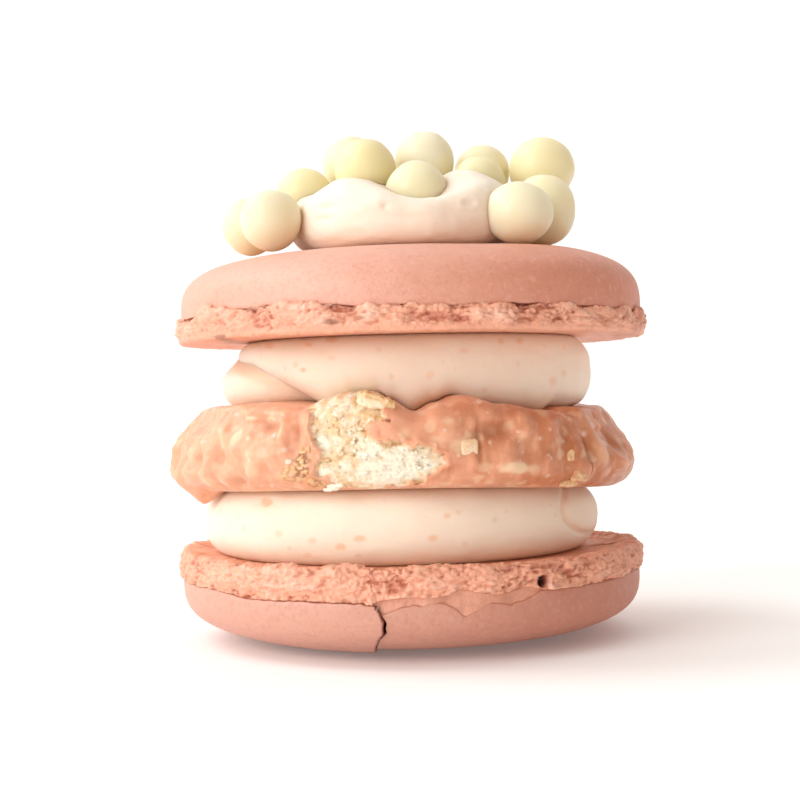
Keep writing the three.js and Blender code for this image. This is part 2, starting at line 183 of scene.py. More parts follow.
# White specks of the glaze: x, z, radius
GLAZE_SPECKS = [
    (6.0, 22.75, 0.22), (11.3, 19.4, 0.2), (12.0, 17.9, 0.16), (11.9, 16.1, 0.22), (13.9, 19.05, 0.2),
    (6.9, 19.2, 0.2), (-12.1, 21.4, 0.3), (-11.9, 20.2, 0.25), (-14.3, 19.9, 0.2), (-13.9, 18.0, 0.2),
    (-12.4, 15.7, 0.2), (-10.9, 18.9, 0.25), (16.3, 19.6, 0.3), (17.5, 20.3, 0.35), (-0.4, 22.4, 0.2),
    (-15.9, 22.0, 0.15), (18.8, 18.6, 0.3), (-17.0, 20.6, 0.18), (-18.6, 19.6, 0.2),
]
# How far inside the disc's edge the bits on the biscuit are seated
SEAT_INSET = 0.15
# Bits stuck to the biscuit's front: x, z, half length along the edge, half depth, half height, how far
# it stands out, paleness, golden share, squareness
BITS = [
    (5.0, 18.85, 0.78, 0.5, 0.72, -0.1, 0.6, 0.85, 4.5),
    (14.6, 17.7, 0.9, 0.4, 0.6, -0.2, 0.0, 0.7, 3.6),
    (15.0, 16.2, 1.0, 0.45, 0.8, 0.05, 0.0, 0.8, 3.8),
    (13.9, 15.25, 1.15, 0.45, 0.36, 0.3, 0.0, 0.8, 3.0),
    (-6.7, 15.6, 0.55, 0.35, 0.3, 0.1, 1.0, 0.0, 2.5),
    (-7.2, 15.35, 0.4, 0.3, 0.22, 0.15, 1.0, 0.0, 2.5),
    (-6.1, 15.75, 0.3, 0.25, 0.2, 0.15, 1.0, 0.0, 2.5),
    (-9.2, 18.7, 0.35, 0.3, 0.15, 0.0, 0.1, 1.0, 2.5),
    (-8.7, 18.9, 0.12, 0.22, 0.3, 0.05, 0.1, 1.0, 2.5),
    (-9.3, 17.9, 0.22, 0.28, 0.25, 0.0, 0.1, 1.0, 2.5),
    (-8.9, 17.0, 0.28, 0.28, 0.2, 0.05, 0.1, 1.0, 2.5),
    (-9.6, 16.4, 0.28, 0.28, 0.22, 0.0, 0.1, 0.9, 2.5),
    (-8.6, 16.2, 0.25, 0.28, 0.2, 0.0, 0.1, 1.0, 2.5),
    (-10.5, 17.9, 0.4, 0.3, 0.3, -0.1, 0.6, 0.1, 2.5),
]
# The small crumbs in the patch: how many, and the seed of their random places
CRUMB_COUNT = 90
CRUMB_SEED = 41
# Height of the seam where the rope of upper cream lies on its own end (angle, height)
SEAM = [
    (-180, 28.7), (-165, 26.7), (-143, 24.8), (-124.5, 23.4), (-100, 22.0), (100, 22.0), (170, 28.7),
]
PEARL_COUNT = 15
# How golden some pearls are, from 0 to 1. The others are 0.4.
PEARL_TINTS = {1: 0.2, 3: 0.8, 5: 0.9, 6: 0.0, 9: 0.7, 10: 0.7, 12: 0.15}
# How far some pearls sit lower than the solids, on the settled front of the dome
PEARL_DROPS = {1: 0.3, 12: 0.5}
# The lower cream's dent (x, z, half width, half height) and the rounded end of its piping
CREAM_DENT = (-13.2, 14.0, 1.1, 0.5)
PIPING_END = {"x": 17.4, "z": 13.0, "radius": 3.5}
# Soft blotches that show through the front of the creams: x, z, half width, half height, strength
LOWER_FLECKS = [
    (-12, 11.3, 0.5, 0.35, 0.5), (-13.2, 14.0, 0.75, 0.45, 1.0), (-8.85, 10.7, 0.45, 0.3, 0.7),
    (-6.4, 10.2, 0.55, 0.4, 0.9), (-4.6, 10.95, 0.6, 0.35, 0.9), (-9.4, 9.4, 0.5, 0.3, 0.5),
    (3.1, 12.8, 0.45, 0.3, 0.8), (4.1, 13.0, 0.3, 0.25, 0.5), (1.8, 10.9, 0.5, 0.35, 0.8),
    (-4.7, 9.4, 0.4, 0.25, 0.5),
]
UPPER_FLECKS = [
    (-9.5, 25.9, 0.4, 0.3, 1.0), (-12.9, 28.3, 0.6, 0.35, 0.6), (-9, 28.2, 0.45, 0.3, 0.7),
    (-6.9, 28.7, 0.7, 0.45, 0.8), (8.4, 28.1, 0.35, 0.35, 0.8), (10.1, 28.1, 0.4, 0.35, 0.7),
    (14.3, 25.1, 0.35, 0.5, 0.6), (13.2, 24.45, 0.45, 0.4, 0.6), (1.9, 25.2, 0.5, 0.4, 0.4),
    (5, 27.3, 0.5, 0.3, 0.5), (-6.8, 26.9, 0.4, 0.3, 0.4), (14.6, 27.6, 0.3, 0.3, 0.4),
]
# The camera's place in millimetres, its focal length and its roll, and how far off the lamps stand
CAMERA = {"x": -0.82, "y": -150, "z": 23, "lens": 67.5, "roll": math.radians(1.2)}
LAMP_DISTANCE = 0.6


# Values on whole arrays

def smooth(value, low, high):
    """0 below low, 1 above high, and an even S between."""
    share = np.clip((value - low) / (high - low), 0, 1)
    return share * share * (3 - 2 * share)


def mix(first, second, share):
    """The first value where share is 0, the second where it is 1."""
    return first + (second - first) * share


def ridge(value, middle, width):
    """A soft hill over one value: 1 in its middle, about a third at width from it."""
    return np.exp(-((value - middle) / width) ** 2)


def soft_spot(x, z, at_x, at_z, wide, tall):
    """A soft hill seen from the front: 1 in its middle, about a third on an ellipse round it."""
    return np.exp(-((x - at_x) / wide) ** 2 - ((z - at_z) / tall) ** 2)


def ellipse_off(x, z, at_x, at_z, wide, tall):
    """Distance from the middle of an ellipse seen from the front: 1 on the ellipse."""
    return np.hypot((x - at_x) / wide, (z - at_z) / tall)


def grid_value(i, j, k):
    """A fixed random value from -1 to 1 for each point of a whole-number grid."""
    s = np.sin(i * 127.1 + j * 311.7 + k * 74.7) * 43758.5453
    return 2 * (s - np.floor(s)) - 1


def noise(x, y, z):
    """Smooth noise from -1 to 1: the grid values, blended between the eight corners round a point."""
    x, y, z = np.broadcast_arrays(x, y, z)
    i, j, k = np.floor(x), np.floor(y), np.floor(z)
    u, v, w = (t * t * (3 - 2 * t) for t in (x - i, y - j, z - k))

    def edge(b, c):
        return mix(grid_value(i, j + b, k + c), grid_value(i + 1, j + b, k + c), u)

    return mix(mix(edge(0, 0), edge(1, 0), v), mix(edge(0, 1), edge(1, 1), v), w)


def waves(place, wide, tall):
    """Smooth noise from -1 to 1 at a place (x, y, z), in patches about wide by tall millimetres."""
    x, y, z = place
    return noise(x / wide, y / wide, z / tall)


def ring_noise(angles, radius, seed):
    """Smooth noise read along a circle, so that its ends meet. It is finer on a larger circle."""
    return noise(radius * np.cos(angles), radius * np.sin(angles), seed)


def scatter(x, y, z):
    """Distance to the nearest of many scattered points, one in each cell of a whole-number grid, and
    a fixed random value from -1 to 1 that belongs to that point."""
    x, y, z = np.broadcast_arrays(x, y, z)
    i, j, k = np.floor(x), np.floor(y), np.floor(z)
    nearest = np.full(x.shape, 9.0)
    value = np.zeros(x.shape)
    steps = (-1, 0, 1)
    for a, b, c in [(a, b, c) for a in steps for b in steps for c in steps]:
        u, v, w = i + a, j + b, k + c
        du = u + 0.5 + 0.42 * grid_value(u, v, w) - x
        dv = v + 0.5 + 0.42 * grid_value(u + 31, v, w) - y
        dw = w + 0.5 + 0.42 * grid_value(u, v + 57, w) - z
        distance = np.sqrt(du * du + dv * dv + dw * dw)
        closer = distance < nearest
        nearest = np.where(closer, distance, nearest)
        value = np.where(closer, grid_value(u, v, w + 83), value)
    return nearest, value


def bumps(places, x, y):
    """Sum of round hills at listed places seen from above: x, y, height, width."""
    total = 0 * x
    for at_x, at_y, height, wide in places:
        total = total + height * np.exp(-((x - at_x) ** 2 + (y - at_y) ** 2) / (2 * wide ** 2))
    return total


def round_the_edge(places, angles):
    """The listed heights, read at other angles along straight lines, all the way round."""
    known, heights = zip(*places)
    return np.interp(np.degrees(angles), known, heights, period=360)


def soft_round(places, angles):
    """The listed heights, read at other angles with an even S between neighbours, all the way round."""
    known, heights = (np.array(part) for part in zip(*places, (places[0][0] + 360, places[0][1])))
    turned = (np.degrees(angles) - known[0]) % 360 + known[0]
    after = np.clip(np.searchsorted(known, turned, side="right"), 1, len(known) - 1)
    return mix(heights[after - 1], heights[after], smooth(turned, known[after - 1], known[after]))


def off_angle(angle, middle):
    """How many degrees an angle is from another, the short way round."""
    return np.abs((angle - middle + 180) % 360 - 180)


def uneven_angles(count, *crowds):
    """Angles round the circle. They stand closer together near each of the crowds, which are
    (how much closer, angle in degrees, width in degrees)."""
    fine = np.linspace(-180, 180, 7201)
    crowding = 1
    for closer, middle, width in crowds:
        crowding = crowding + closer * ridge(off_angle((fine[1:] + fine[:-1]) / 2, middle), 0, width)
    load = np.concatenate([[0], np.cumsum(crowding)])
    return np.radians(np.interp(np.arange(count) / count * load[-1], load, fine))


# Meshes from grids of points

def outward(points):
    """Unit normals of a closed grid: the step across its columns times the step up its rows."""
    across = np.roll(points, -1, axis=1) - np.roll(points, 1, axis=1)
    up = np.gradient(points, axis=0)
    normal = np.cross(across, up)
    normal = normal / np.maximum(np.linalg.norm(normal, axis=2, keepdims=True), 1e-12)
    normal[0] = (0, 0, -1)
    normal[-1] = (0, 0, 1)
    return normal


def grid_faces(rows, columns, first=0):
    """Corner numbers of the faces of a closed grid, whose first and last row are one point each.
    Vertices run: the bottom point, the rings from the bottom up, the top point."""
    ring = np.arange(columns)
    after = np.roll(ring, -1)
    low = first + 1 + np.arange(rows - 3)[:, None] * columns
    quads = np.stack([low + ring, low + after, low + columns + after, low + columns + ring], axis=2)
    last = first + 1 + (rows - 3) * columns
    top = last + columns
    under = np.stack([np.full(columns, first), first + 1 + after, first + 1 + ring], axis=1)
    over = np.stack([last + ring, last + after, np.full(columns, top)], axis=1)
    return quads.reshape(-1, 4), np.concatenate([under, over])


def flat_list(values):
    """Grid values as one value for each vertex: the end rows give one value each."""
    middle = values[1:-1].reshape((-1,) + values.shape[2:])
    return np.concatenate([values[:1, 0], middle, values[-1:, 0]])


def new_piece(name, grids, finish, nodes=()):
    """One smooth-shaded mesh made of closed grids. Each grid is (points in millimetres as an array of
    rows, columns, 3, and a dict of marks, arrays of rows, columns that the finish reads)."""
    vertices, quads, triangles, first = [], [], [], 0
    marks = {key: [] for key in grids[0][1]}
    for points, shares in grids:
        rows, columns = points.shape[:2]
        vertices.append(flat_list(points))
        for key in marks:
            marks[key].append(flat_list(np.broadcast_to(shares[key], (rows, columns))))
        four, three = grid_faces(rows, columns, first)
        quads.append(four)
        triangles.append(three)
        first += len(vertices[-1])
    vertices = np.concatenate(vertices) * MM
    quads = np.concatenate(quads)
    triangles = np.concatenate(triangles)
    corners = np.concatenate([quads.ravel(), triangles.ravel()]).astype(np.int32)
    starts = np.concatenate([np.arange(len(quads)) * 4, len(quads) * 4 + np.arange(len(triangles)) * 3])
    mesh = bpy.data.meshes.new(name)
    mesh.vertices.add(len(vertices))
    mesh.vertices.foreach_set("co", vertices.astype(np.float32).ravel())
    mesh.loops.add(len(corners))
    mesh.loops.foreach_set("vertex_index", corners)
    mesh.polygons.add(len(starts))
    mesh.polygons.foreach_set("loop_start", starts.astype(np.int32))
    mesh.polygons.foreach_set("use_smooth", np.ones(len(starts), dtype=bool))
    for key, values in marks.items():
        layer = mesh.attributes.new(key, "FLOAT", "POINT")
        layer.data.foreach_set("value", np.concatenate(values).astype(np.float32))
    mesh.update(calc_edges=True)
    if mesh.validate():
        raise RuntimeError(f"{name}: the mesh has faults")
    mesh.materials.append(finish)
    piece = bpy.data.objects.new(name, mesh)
    bpy.context.scene.collection.objects.link(piece)
    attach(piece, "root")
    if nodes:
        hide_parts(*nodes)
    return piece


# The two almond shells

def dome_height(size, r):
    """Height of a shell's dome over its foot at a distance from the axis: a superellipse."""
    share = np.minimum(r / size["radius"], 1) ** size["fullness"]
    return size["dome"] * (1 - share) ** (1 / size["fullness"])


def dome_radius(size, z):
    """Radius of a shell's dome at a height over its foot: the same superellipse."""
    share = np.clip(z / size["dome"], 0, 1) ** size["fullness"]
    return size["radius"] * (1 - share) ** (1 / size["fullness"])


def shell_profile(size, skin_edge, foot_edge, groove, swell):
    """Radius and height of a shell at each row and column, dome up, flat side at 0. The rows run along
    the flat side, round the rim, up the foot, through the groove under the skin, over the skin's
    lip and along the dome, which is a superellipse with a flat middle. swell(radius, height) is how
    far the skin stands out. Also how much of each row is crumb (1) and not skin (0)."""
    foot_radius = size["radius"] + size["overhang"]
    corner, rim, foot, dome = (size[key] for key in ("corner", "rim", "foot", "dome"))
    even = np.ones_like(skin_edge)
    rows = []
    for share in 1 - (1 - np.linspace(0, 1, FLAT_ROWS)) ** 1.8:
        r = share * (foot_radius - corner) * even
        rows.append((r, -rim * smooth(r, *RIM_STARTS), 1))
    for bend in np.radians(np.linspace(0, 90, CORNER_ROWS + 1)[1:]):
        r = foot_radius - corner + corner * math.sin(bend)
        rows.append((r * even, (corner * (1 - math.cos(bend)) - rim) * even, 1))
    for share in np.linspace(0, 1, FOOT_ROWS + 1)[1:]:
        r = foot_radius + FOOT_BULGE * math.sin(math.pi * share) - FOOT_LEAN * share
        rows.append((r * even, mix(corner - rim, foot + foot_edge, share), 1))
    inner = np.minimum(foot_radius, dome_radius(size, skin_edge)) - groove
    for share in np.linspace(0, 1, GROOVE_ROWS + 1)[1:]:
        r = mix(foot_radius - FOOT_LEAN, inner, smooth(share, 0, 0.4))
        rows.append((r, foot + mix(foot_edge, skin_edge, smooth(share, 0.1, 1)), 1))
    skin = []
    for back, up in SKIN_LIP:
        skin.append((dome_radius(size, skin_edge + up) - back, skin_edge + up))
    start = skin_edge + SKIN_LIP[-1][1]
    for share in np.linspace(0, 1, DOME_ROWS + 1)[1:]:
        rise = math.sin(math.pi / 2 * share ** 1.5) ** (2 / size["fullness"])
        z = start + (dome - start) * rise
        r = dome_radius(size, z) * (share < 1)
        skin.append((r, flattened(size, r, z)))
    for r, z in skin:
        share = smooth(r, FLAT_RADIUS, 17) * swell(r, foot + z)
        outer = (r / size["radius"]) ** 4
        rows.append((r + share * outer, foot + np.minimum(z + share * (1 - outer), dome), 0))
    radii, heights, crumb = (np.array([row[part] * even for row in rows]) for part in range(3))
    return radii, heights, crumb


def flattened(size, r, z):
    """A height of the dome, levelled to the dome's full height in its flat middle."""
    return mix(z, size["dome"], 1 - smooth(r, FLAT_RADIUS, FLAT_RADIUS + FLAT_BLEND))


def skin_groove(angles, seed):
    """How deep the groove under the skin's edge is."""
    return np.maximum(0.04, 0.12 + 0.3 * ring_noise(angles, 16, seed))


def settled(x, y):
    """How far the top shell's dome has settled at a place: most at the front, least at the right."""
    return SETTLED * smooth(-y, -4, 9) * smooth(16 - x, 0, 12)


def foot_relief(place, depth, bubble, worn):
    """How far the foot's crumb stands out: soft ruffles, round bubbles, fine grain, splits and pits.
    worn is how strong the fine grain is. Also where it is split or pitted, 0 to 1."""
    x, y, z = place
    bent = 0.35 * waves(place, 1.1, 0.8)
    near, _ = scatter(x / bubble + bent, y / bubble, z / (0.7 * bubble) + bent)
    small, _ = scatter(x / 0.5 + bent, y / 0.5, z / 0.36)
    pit, which = scatter(x / 0.8, y / 0.8 + bent, z / 0.6)
    open_pit = (1 - smooth(pit, 0.15, 0.4)) * smooth(which, 0.3, 0.5)
    split = 1 - smooth(np.abs(noise(x + bent, y, z / 0.55)), 0.0, 0.14)
    lumps = 0.85 * waves(place, 1.9, 1.1) + 0.8 * (0.4 - near ** 2)
    lumps = lumps + 0.85 * worn * (0.35 - small ** 2) + 0.3 * worn * waves(place, 0.3, 0.22)
    relief = depth * (lumps - 0.4 * open_pit - 0.3 * worn * split)
    return relief, np.maximum(open_pit, 0.6 * worn * split)


def foot_marks(rough, relief, pits):
    """How deep the foot's crumb lies, as painted shade for its hollows and pits, and how high, as
    painted highlight for its crests, from 0 to about 1. rough is where there is relief."""
    recess_shade = np.clip(rough * (-relief / 0.4), 0, 1) + 0.5 * rough * pits
    return recess_shade, np.clip(rough * relief / 0.4, 0, 1)


def round_grid(radii, heights, angles):
    """Points at a radius and a height in each column's direction."""
    return np.stack([radii * np.cos(angles), radii * np.sin(angles), heights], axis=2)


def bottom_shell(sizes):
    """The upturned shell: cracked skin with a dropped piece, chipped skin, and a hole in the foot. It is
    shaped the right way up, with its front at +Y, and turned over at the end."""
    angles = uneven_angles(SHELL_COLUMNS, (0.5, 90, 60), (5, 97, 3.5))
    stood = np.degrees(-angles)  # where each column is once the shell is turned over
    wavy = 0.06 * ring_noise(angles, 14, 1.5) + 0.08 * ring_noise(angles, 40, 4.5)
    skin_height = round_the_edge(LOW_SKIN_EDGE, -angles) + wavy
    chipped = (stood > CHIPPED[0]) & (stood < CHIPPED[1])
    foot_height = np.where(chipped, round_the_edge(LOW_FOOT_EDGE, -angles), skin_height + 0.05)
    foot_height = np.maximum(foot_height, skin_height + 0.05)
    base = LOW_SEAT - BOTTOM["foot"]
    crack_z, crack_x, crack_half = np.array(sorted(CRACK)).T

    def swell(r, z):
        """The skin left of the crack has dropped, most at the crack."""
        here = np.interp(LOW_SEAT - z, crack_z, crack_x)
        crack_angle = -np.degrees(np.arccos(here / np.maximum(r, 4)))
        return DROPPED["drop"] * (stood < crack_angle) * smooth(stood, DROPPED["end"], DROPPED["crack"])

    radii, heights, crumb = shell_profile(BOTTOM, base - skin_height, base - foot_height,
                                          skin_groove(angles, 8.5), swell)
    points = round_grid(radii, heights, angles)
    x, y, z = np.moveaxis(points, 2, 0)
    relief, pits = foot_relief((x + 3.1, y, z), 0.7 * sizes.foot_depth / MM, sizes.foot_bubble / MM, 1.0)
    band = crumb * (heights > (LOW_SEAT - foot_height)[None, :] - 1e-6)  # bare where the skin is chipped
    rough = crumb * smooth(radii, *FOOT_STARTS) * mix(1, 0.22, band)
    points = points + outward(points) * (rough * relief)[..., None]
    stood_z = LOW_SEAT - heights
    middle = np.interp(stood_z, crack_z, crack_x) + 0.12 * noise(stood_z / 0.5, 3.3, 1.7)
    half = np.interp(stood_z, crack_z, crack_half)
    inside = (y > 0) * (stood_z > crack_z[0]) * (stood_z < crack_z[-1]) * (1 - crumb)
    crack = inside * (1 - smooth(np.abs(points[..., 0] - middle), 0.6 * half, 1.2 * half))
    hole_off = np.hypot(points[..., 0] - HOLE["x"], LOW_SEAT - points[..., 2] - HOLE["z"])
    hole = (y > 0) * crumb * (1 - smooth(hole_off, 0.7 * HOLE["radius"], 1.1 * HOLE["radius"]))
    inward = CRACK_DEPTH * crack + HOLE["depth"] * hole
    points[..., 0] -= inward * np.cos(angles)
    points[..., 1] -= inward * np.sin(angles)
    # Painted shade in the foot's hollows and pits, and painted highlight on its crests.
    recess_shade, crest_highlight = foot_marks(rough, relief, pits)
    # Painted shade in the crack, darkest where it is widest, and in the hole.
    dark = crack * mix(0.45, 1, smooth(half, 0.06, 0.12))
    turned = np.stack([points[..., 0], -points[..., 1], LOW_SEAT - points[..., 2]], axis=2)
    return turned, {"crumb": crumb * mix(1, 0.45, band), "recess_shade": recess_shade + hole, "spot": 0 * crumb,
                    "crack": dark + hole, "crest_highlight": crest_highlight}


def seat_slivers():
    """Thin slivers that stand up a little from the bottom shell's seat, at the right."""
    grids = []
    for number, (x, y, along, turn) in enumerate(SLIVERS):
        points = ball((x, y, LOW_SEAT + 0.12), (along, 0.35, 0.13), turn, 0.3, number * 3.1,
                      rows=14, columns=26, square=2.6)
        points[..., 2] += 0.25 * (points[..., 0] - x)
        flat = 0 * points[..., 0]
        # The slivers take the full painted highlight of the foot's crests.
        marks = {"crumb": 1 + flat, "recess_shade": flat, "spot": flat, "crack": flat, "crest_highlight": 1 + flat}
        grids.append((points, marks))
    return grids


def top_shell(sizes):
    """The upright shell, with brown baked spots on its foot."""
    angles = uneven_angles(SHELL_COLUMNS, TOWARDS_FRONT)
    wavy = 0.12 * ring_noise(angles, 14, 7.5) + 0.14 * ring_noise(angles, 34, 3.5)
    skin_edge = round_the_edge(HIGH_SKIN_EDGE, angles) + wavy - HIGH_SEAT - TOP["foot"]
    radii, heights, crumb = shell_profile(TOP, skin_edge, skin_edge - 0.06, skin_groove(angles, 2.5),
                                          lambda r, z: 0)
    points = round_grid(radii, heights, angles)
    x, y, z = np.moveaxis(points, 2, 0)
    relief, pits = foot_relief((x + 7.3, y, z), 0.95 * sizes.foot_depth / MM,
                               1.2 * sizes.foot_bubble / MM, 0.7)
    rough = crumb * smooth(radii, *FOOT_STARTS) * mix(0.25, 1, smooth(z, 0.25, 0.8))
    points = points + outward(points) * (rough * relief)[..., None]
    recess_shade, crest_highlight = foot_marks(rough, relief, pits)
    spot = 0 * x
    for at_x, at_z, wide, tall in BAKED_SPOTS:
        off = ellipse_off(x + TOP_SHELL_X, z + HIGH_SEAT, at_x, at_z, wide, tall)
        spot = spot + (y < 0) * (1 - smooth(off, 0.5, 1.1))
    points[..., 2] -= settled(x, y) * smooth(z, 2.6, 6.5)
    moved = points + np.array([TOP_SHELL_X, 0, HIGH_SEAT])
    return moved, {"crumb": crumb, "recess_shade": recess_shade, "spot": spot, "crack": 0 * x, "crest_highlight": crest_highlight}


# Creams and biscuit: discs with a bulging edge

def level(height):
    """A floor or ceiling at one height."""
    return lambda x, y: height + 0 * x


def biscuit_bottom(x, y):
    """Underside of the biscuit. Its glaze sags at both ends, most in the listed drips at the left."""
    r = np.hypot(x - BISCUIT["x"], y)
    side = ((x - BISCUIT["x"]) / np.maximum(r, 1)) ** 2
    angle = np.degrees(np.arctan2(y, x - BISCUIT["x"]))
    drip = 0
    for depth, middle, width in DRIPS:
        drip = drip + depth * ridge(off_angle(angle, middle), 0, width)
    sag = np.where(x < 0, 0.8, 1.3) * side * smooth(r, 14, 22)
    return BISCUIT_BOTTOM - sag - drip * smooth(r, 17.5, 21)


def biscuit_top(x, y):
    """Upper side of the biscuit: level in the middle, with the listed rise and fall towards the rim."""
    x_off = x - BISCUIT["x"]
    rim = soft_round(BISCUIT_RIM, np.arctan2(y, x_off)) * smooth(np.hypot(x_off, y), 7, 15)
    return BISCUIT_TOP + rim + 0.15 * noise(x / 5, y / 5, 3)


def dollop_floor(x, y):
    """Just under the top shell's dome, which the dollop is pressed onto."""
    r = np.hypot(x - TOP_SHELL_X, y)
    return HIGH_SEAT + TOP["foot"] + flattened(TOP, r, dome_height(TOP, r)) - settled(x, y) - PRESSED


def dollop_ceiling(x, y):
    """The dollop's upper side: level, with soft peaks and hollows."""
    return HIGH_SEAT + TOP["foot"] + TOP["dome"] + DOLLOP_HEIGHT + bumps(DOLLOP_PEAKS, x, y)


def disc_grid(size, floor, ceiling, angles, flat_rows, edge_rows):
    """A disc between a floor and a ceiling, both functions of x and y. Its edge bulges as a
    superellipse, with its rows evenly spaced along it. Also how much of each row faces sideways: 0 on
    the flat sides, 1 half way up the edge."""
    cos, sin = np.cos(angles), np.sin(angles)
    flat_radius = size["radius"] - size["edge"]
    spread = 1 - (1 - np.linspace(0, 1, flat_rows + 1)[:-1]) ** 1.5

    def at(r, height):
        x, y = size["x"] + r * cos, size["y"] + r * sin
        return np.stack([x, y, mix(floor(x, y), ceiling(x, y), height)], axis=1)

    def power(value):
        return math.copysign(abs(value) ** (2 / size["fullness"]), value)

    fine = np.radians(np.linspace(-90, 90, 1801))
    across = size["edge"] * np.abs(np.cos(fine)) ** (2 / size["fullness"])
    up = 0.5 * size["tall"] * np.sign(fine) * np.abs(np.sin(fine)) ** (2 / size["fullness"])
    along = np.concatenate([[0], np.cumsum(np.hypot(np.diff(across), np.diff(up)))])
    rows = [at(flat_radius * share, 0.0) for share in spread]
    sideways = [0.0] * flat_rows
    for tilt in np.interp(np.linspace(0, along[-1], edge_rows), along, fine):
        r = flat_radius + size["edge"] * power(math.cos(tilt))
        rows.append(at(r, 0.5 + 0.5 * power(math.sin(tilt))))
        sideways.append(math.cos(tilt))
    rows += [at(flat_radius * share, 1.0) for share in spread[::-1]]
    sideways += [0.0] * flat_rows
    return np.array(rows), np.array(sideways)[:, None]


def pushed(points, size, amount):
    """Points moved away from the disc's axis."""
    off = points[..., :2] - np.array([size["x"], size["y"]])
    away = off / np.maximum(np.linalg.norm(off, axis=2, keepdims=True), 1e-9)
    moved = points.copy()
    moved[..., :2] += away * amount[..., None]
    return moved


def flecked(places, place):
    """Soft blotches at listed places of the front: x, z, half width, half height, strength."""
    x, y, z = place
    share = 0 * x
    ragged = 0.25 * waves(place, 0.4, 0.4)
    for at_x, at_z, wide, tall, strength in places:
        off = ellipse_off(x, z, at_x, at_z, wide, tall) + ragged
        share = np.maximum(share, strength * (y < 0) * (1 - smooth(off, 0.45, 1.15)))
    return share


def lower_cream():
    """The thick disc of cream under the biscuit: one dent at the left, and at the right the piping's
    rounded end, outlined by a shallow groove."""
    points, sideways = disc_grid(LOWER_CREAM, level(LOW_SEAT - PRESSED),
                                 lambda x, y: biscuit_bottom(x, y) + PRESSED,
                                 uneven_angles(CREAM_COLUMNS, TOWARDS_FRONT), flat_rows=10, edge_rows=74)
    place = np.moveaxis(points, 2, 0)
    x, y, z = place
    relief = 0.15 * waves(place, 7, 3) + 0.05 * waves(place, 1.6, 0.9)
    dent = -0.35 * soft_spot(x, z, *CREAM_DENT) * (y < 0)
    ring = np.hypot(x - PIPING_END["x"], 1.15 * (z - PIPING_END["z"])) - PIPING_END["radius"]
    end = (y < 0) * smooth(-ring, -0.1, 0.5)
    groove = -0.28 * (y < 0) * ridge(ring, 0, 0.28) * smooth(17.5 - x, 0, 1.5)
    points = pushed(points, LOWER_CREAM, (relief + dent + groove + 0.12 * end) * sideways)
    # Besides the listed flecks, the mark holds painted shade in the groove round the piping's end, and a
    # slight tint over the end.
    return points, {"fleck_and_crease_shade": np.maximum(flecked(LOWER_FLECKS, place), 0.18 * end - groove)}


def upper_rope():
    """The rope of cream over the biscuit. Its underside lifts at the left, where its own end lies."""

    def lifted(x, y):
        over_the_end = 4.3 * np.clip((-x - 7.5) / 8.8, 0, 0.85) ** 1.25
        return biscuit_top(x, y) - PRESSED + over_the_end * smooth(-y, -9, -2)

    points, sideways = disc_grid(UPPER_CREAM, lifted, level(HIGH_SEAT + PRESSED),
                                 uneven_angles(CREAM_COLUMNS, TOWARDS_FRONT), flat_rows=10, edge_rows=74)
    place = np.moveaxis(points, 2, 0)
    relief = 0.15 * waves(place, 6, 3) + 0.05 * waves(place, 1.6, 0.9)
    return pushed(points, UPPER_CREAM, relief * sideways), {"fleck_and_crease_shade": flecked(UPPER_FLECKS, place)}


def upper_lobe():
    """The end of the piped rope, which lies under its own start at the left. It leans in upwards."""
    points, sideways = disc_grid(UPPER_LOBE, lambda x, y: biscuit_top(x, y) - PRESSED,
                                 level(HIGH_SEAT - GAP), uneven_angles(420, (0.5, -120, 60)),
                                 flat_rows=8, edge_rows=60)
    place = np.moveaxis(points, 2, 0)
    x, y, z = place
    relief = 0.15 * waves(place, 6, 3) - 2.0 * smooth(z, 25.0, 28.4) + 0.04 * waves(place, 1.4, 1)
    seam = round_the_edge(SEAM, np.arctan2(y, x - UPPER_CREAM["x"]))
    # Painted shade: the lobe darkens towards and above the seam where the rope lies on it.
    return pushed(points, UPPER_LOBE, relief * sideways), {"fleck_and_crease_shade": 0.6 * smooth(z - seam, -0.9, 0.1)}


def broken_share(place):
    """Where the glaze is broken away at the front, 0 to 1: a ragged patch made of ellipses, with an
    island of glaze left in it. Also the distance in from its edge, in millimetres."""
    x, y, z = place
    inside = -9.0 + 0 * x
    for at_x, at_z, wide, tall in PATCH:
        inside = np.maximum(inside, (1 - ellipse_off(x, z, at_x, at_z, wide, tall)) * min(wide, tall))
    island = (1 - ellipse_off(x, z, *PATCH_ISLAND)) * min(PATCH_ISLAND[2:])
    inside = np.minimum(inside, -island)
    ragged = 0.35 * waves(place, 0.9, 0.7) + 0.2 * waves(place, 0.35, 0.3)
    inside = np.where(y < 0, inside + ragged, -9.0)
    return smooth(inside, -0.06, 0.1), inside


def glaze_relief(place, height):
    """How far the glaze stands out: broad lumps, small lumps of about the given height, folds and finer
    grain at the left, and the listed forms."""
    x, y, z = place
    lumps = 0.8 * waves(place, 0.95, 0.8) + 2.8 * noise(x / 1.7 + 5, y / 1.7, z / 2.6)
    folds = noise(x / 1.4 - 3, y / 1.4, z / 0.7 + 0.5 * x) * smooth(-x, 8, 14)
    relief = height * (lumps * mix(1, 1.3, smooth(-x, 8, 14)) + 0.8 * folds)
    relief = relief + 0.5 * height * waves(place, 0.5, 0.45) * smooth(-x, 8, 12)
    for at_x, at_z, wide, tall, out in GLAZE_FORMS:
        relief = relief + 2.0 * out * (y < 0) * soft_spot(x, z, at_x, at_z, wide, tall)
    return relief + 0.45 * waves(place, 4.5, 4) + 0.2 * waves(place, 2, 2)


def worn_ends(x, z):
    """How far the biscuit's two ends stand back from the disc: rounded off towards the top."""
    left = 2.3 * smooth(z, 18.5, 22.8) + 0.15 - 0.8 * ridge(z, 16.2, 1.3)
    right = 2.4 * smooth(z, 16, 22) - 0.2
    return smooth(-x, 13, 21) * left + smooth(x, 12, 20) * right


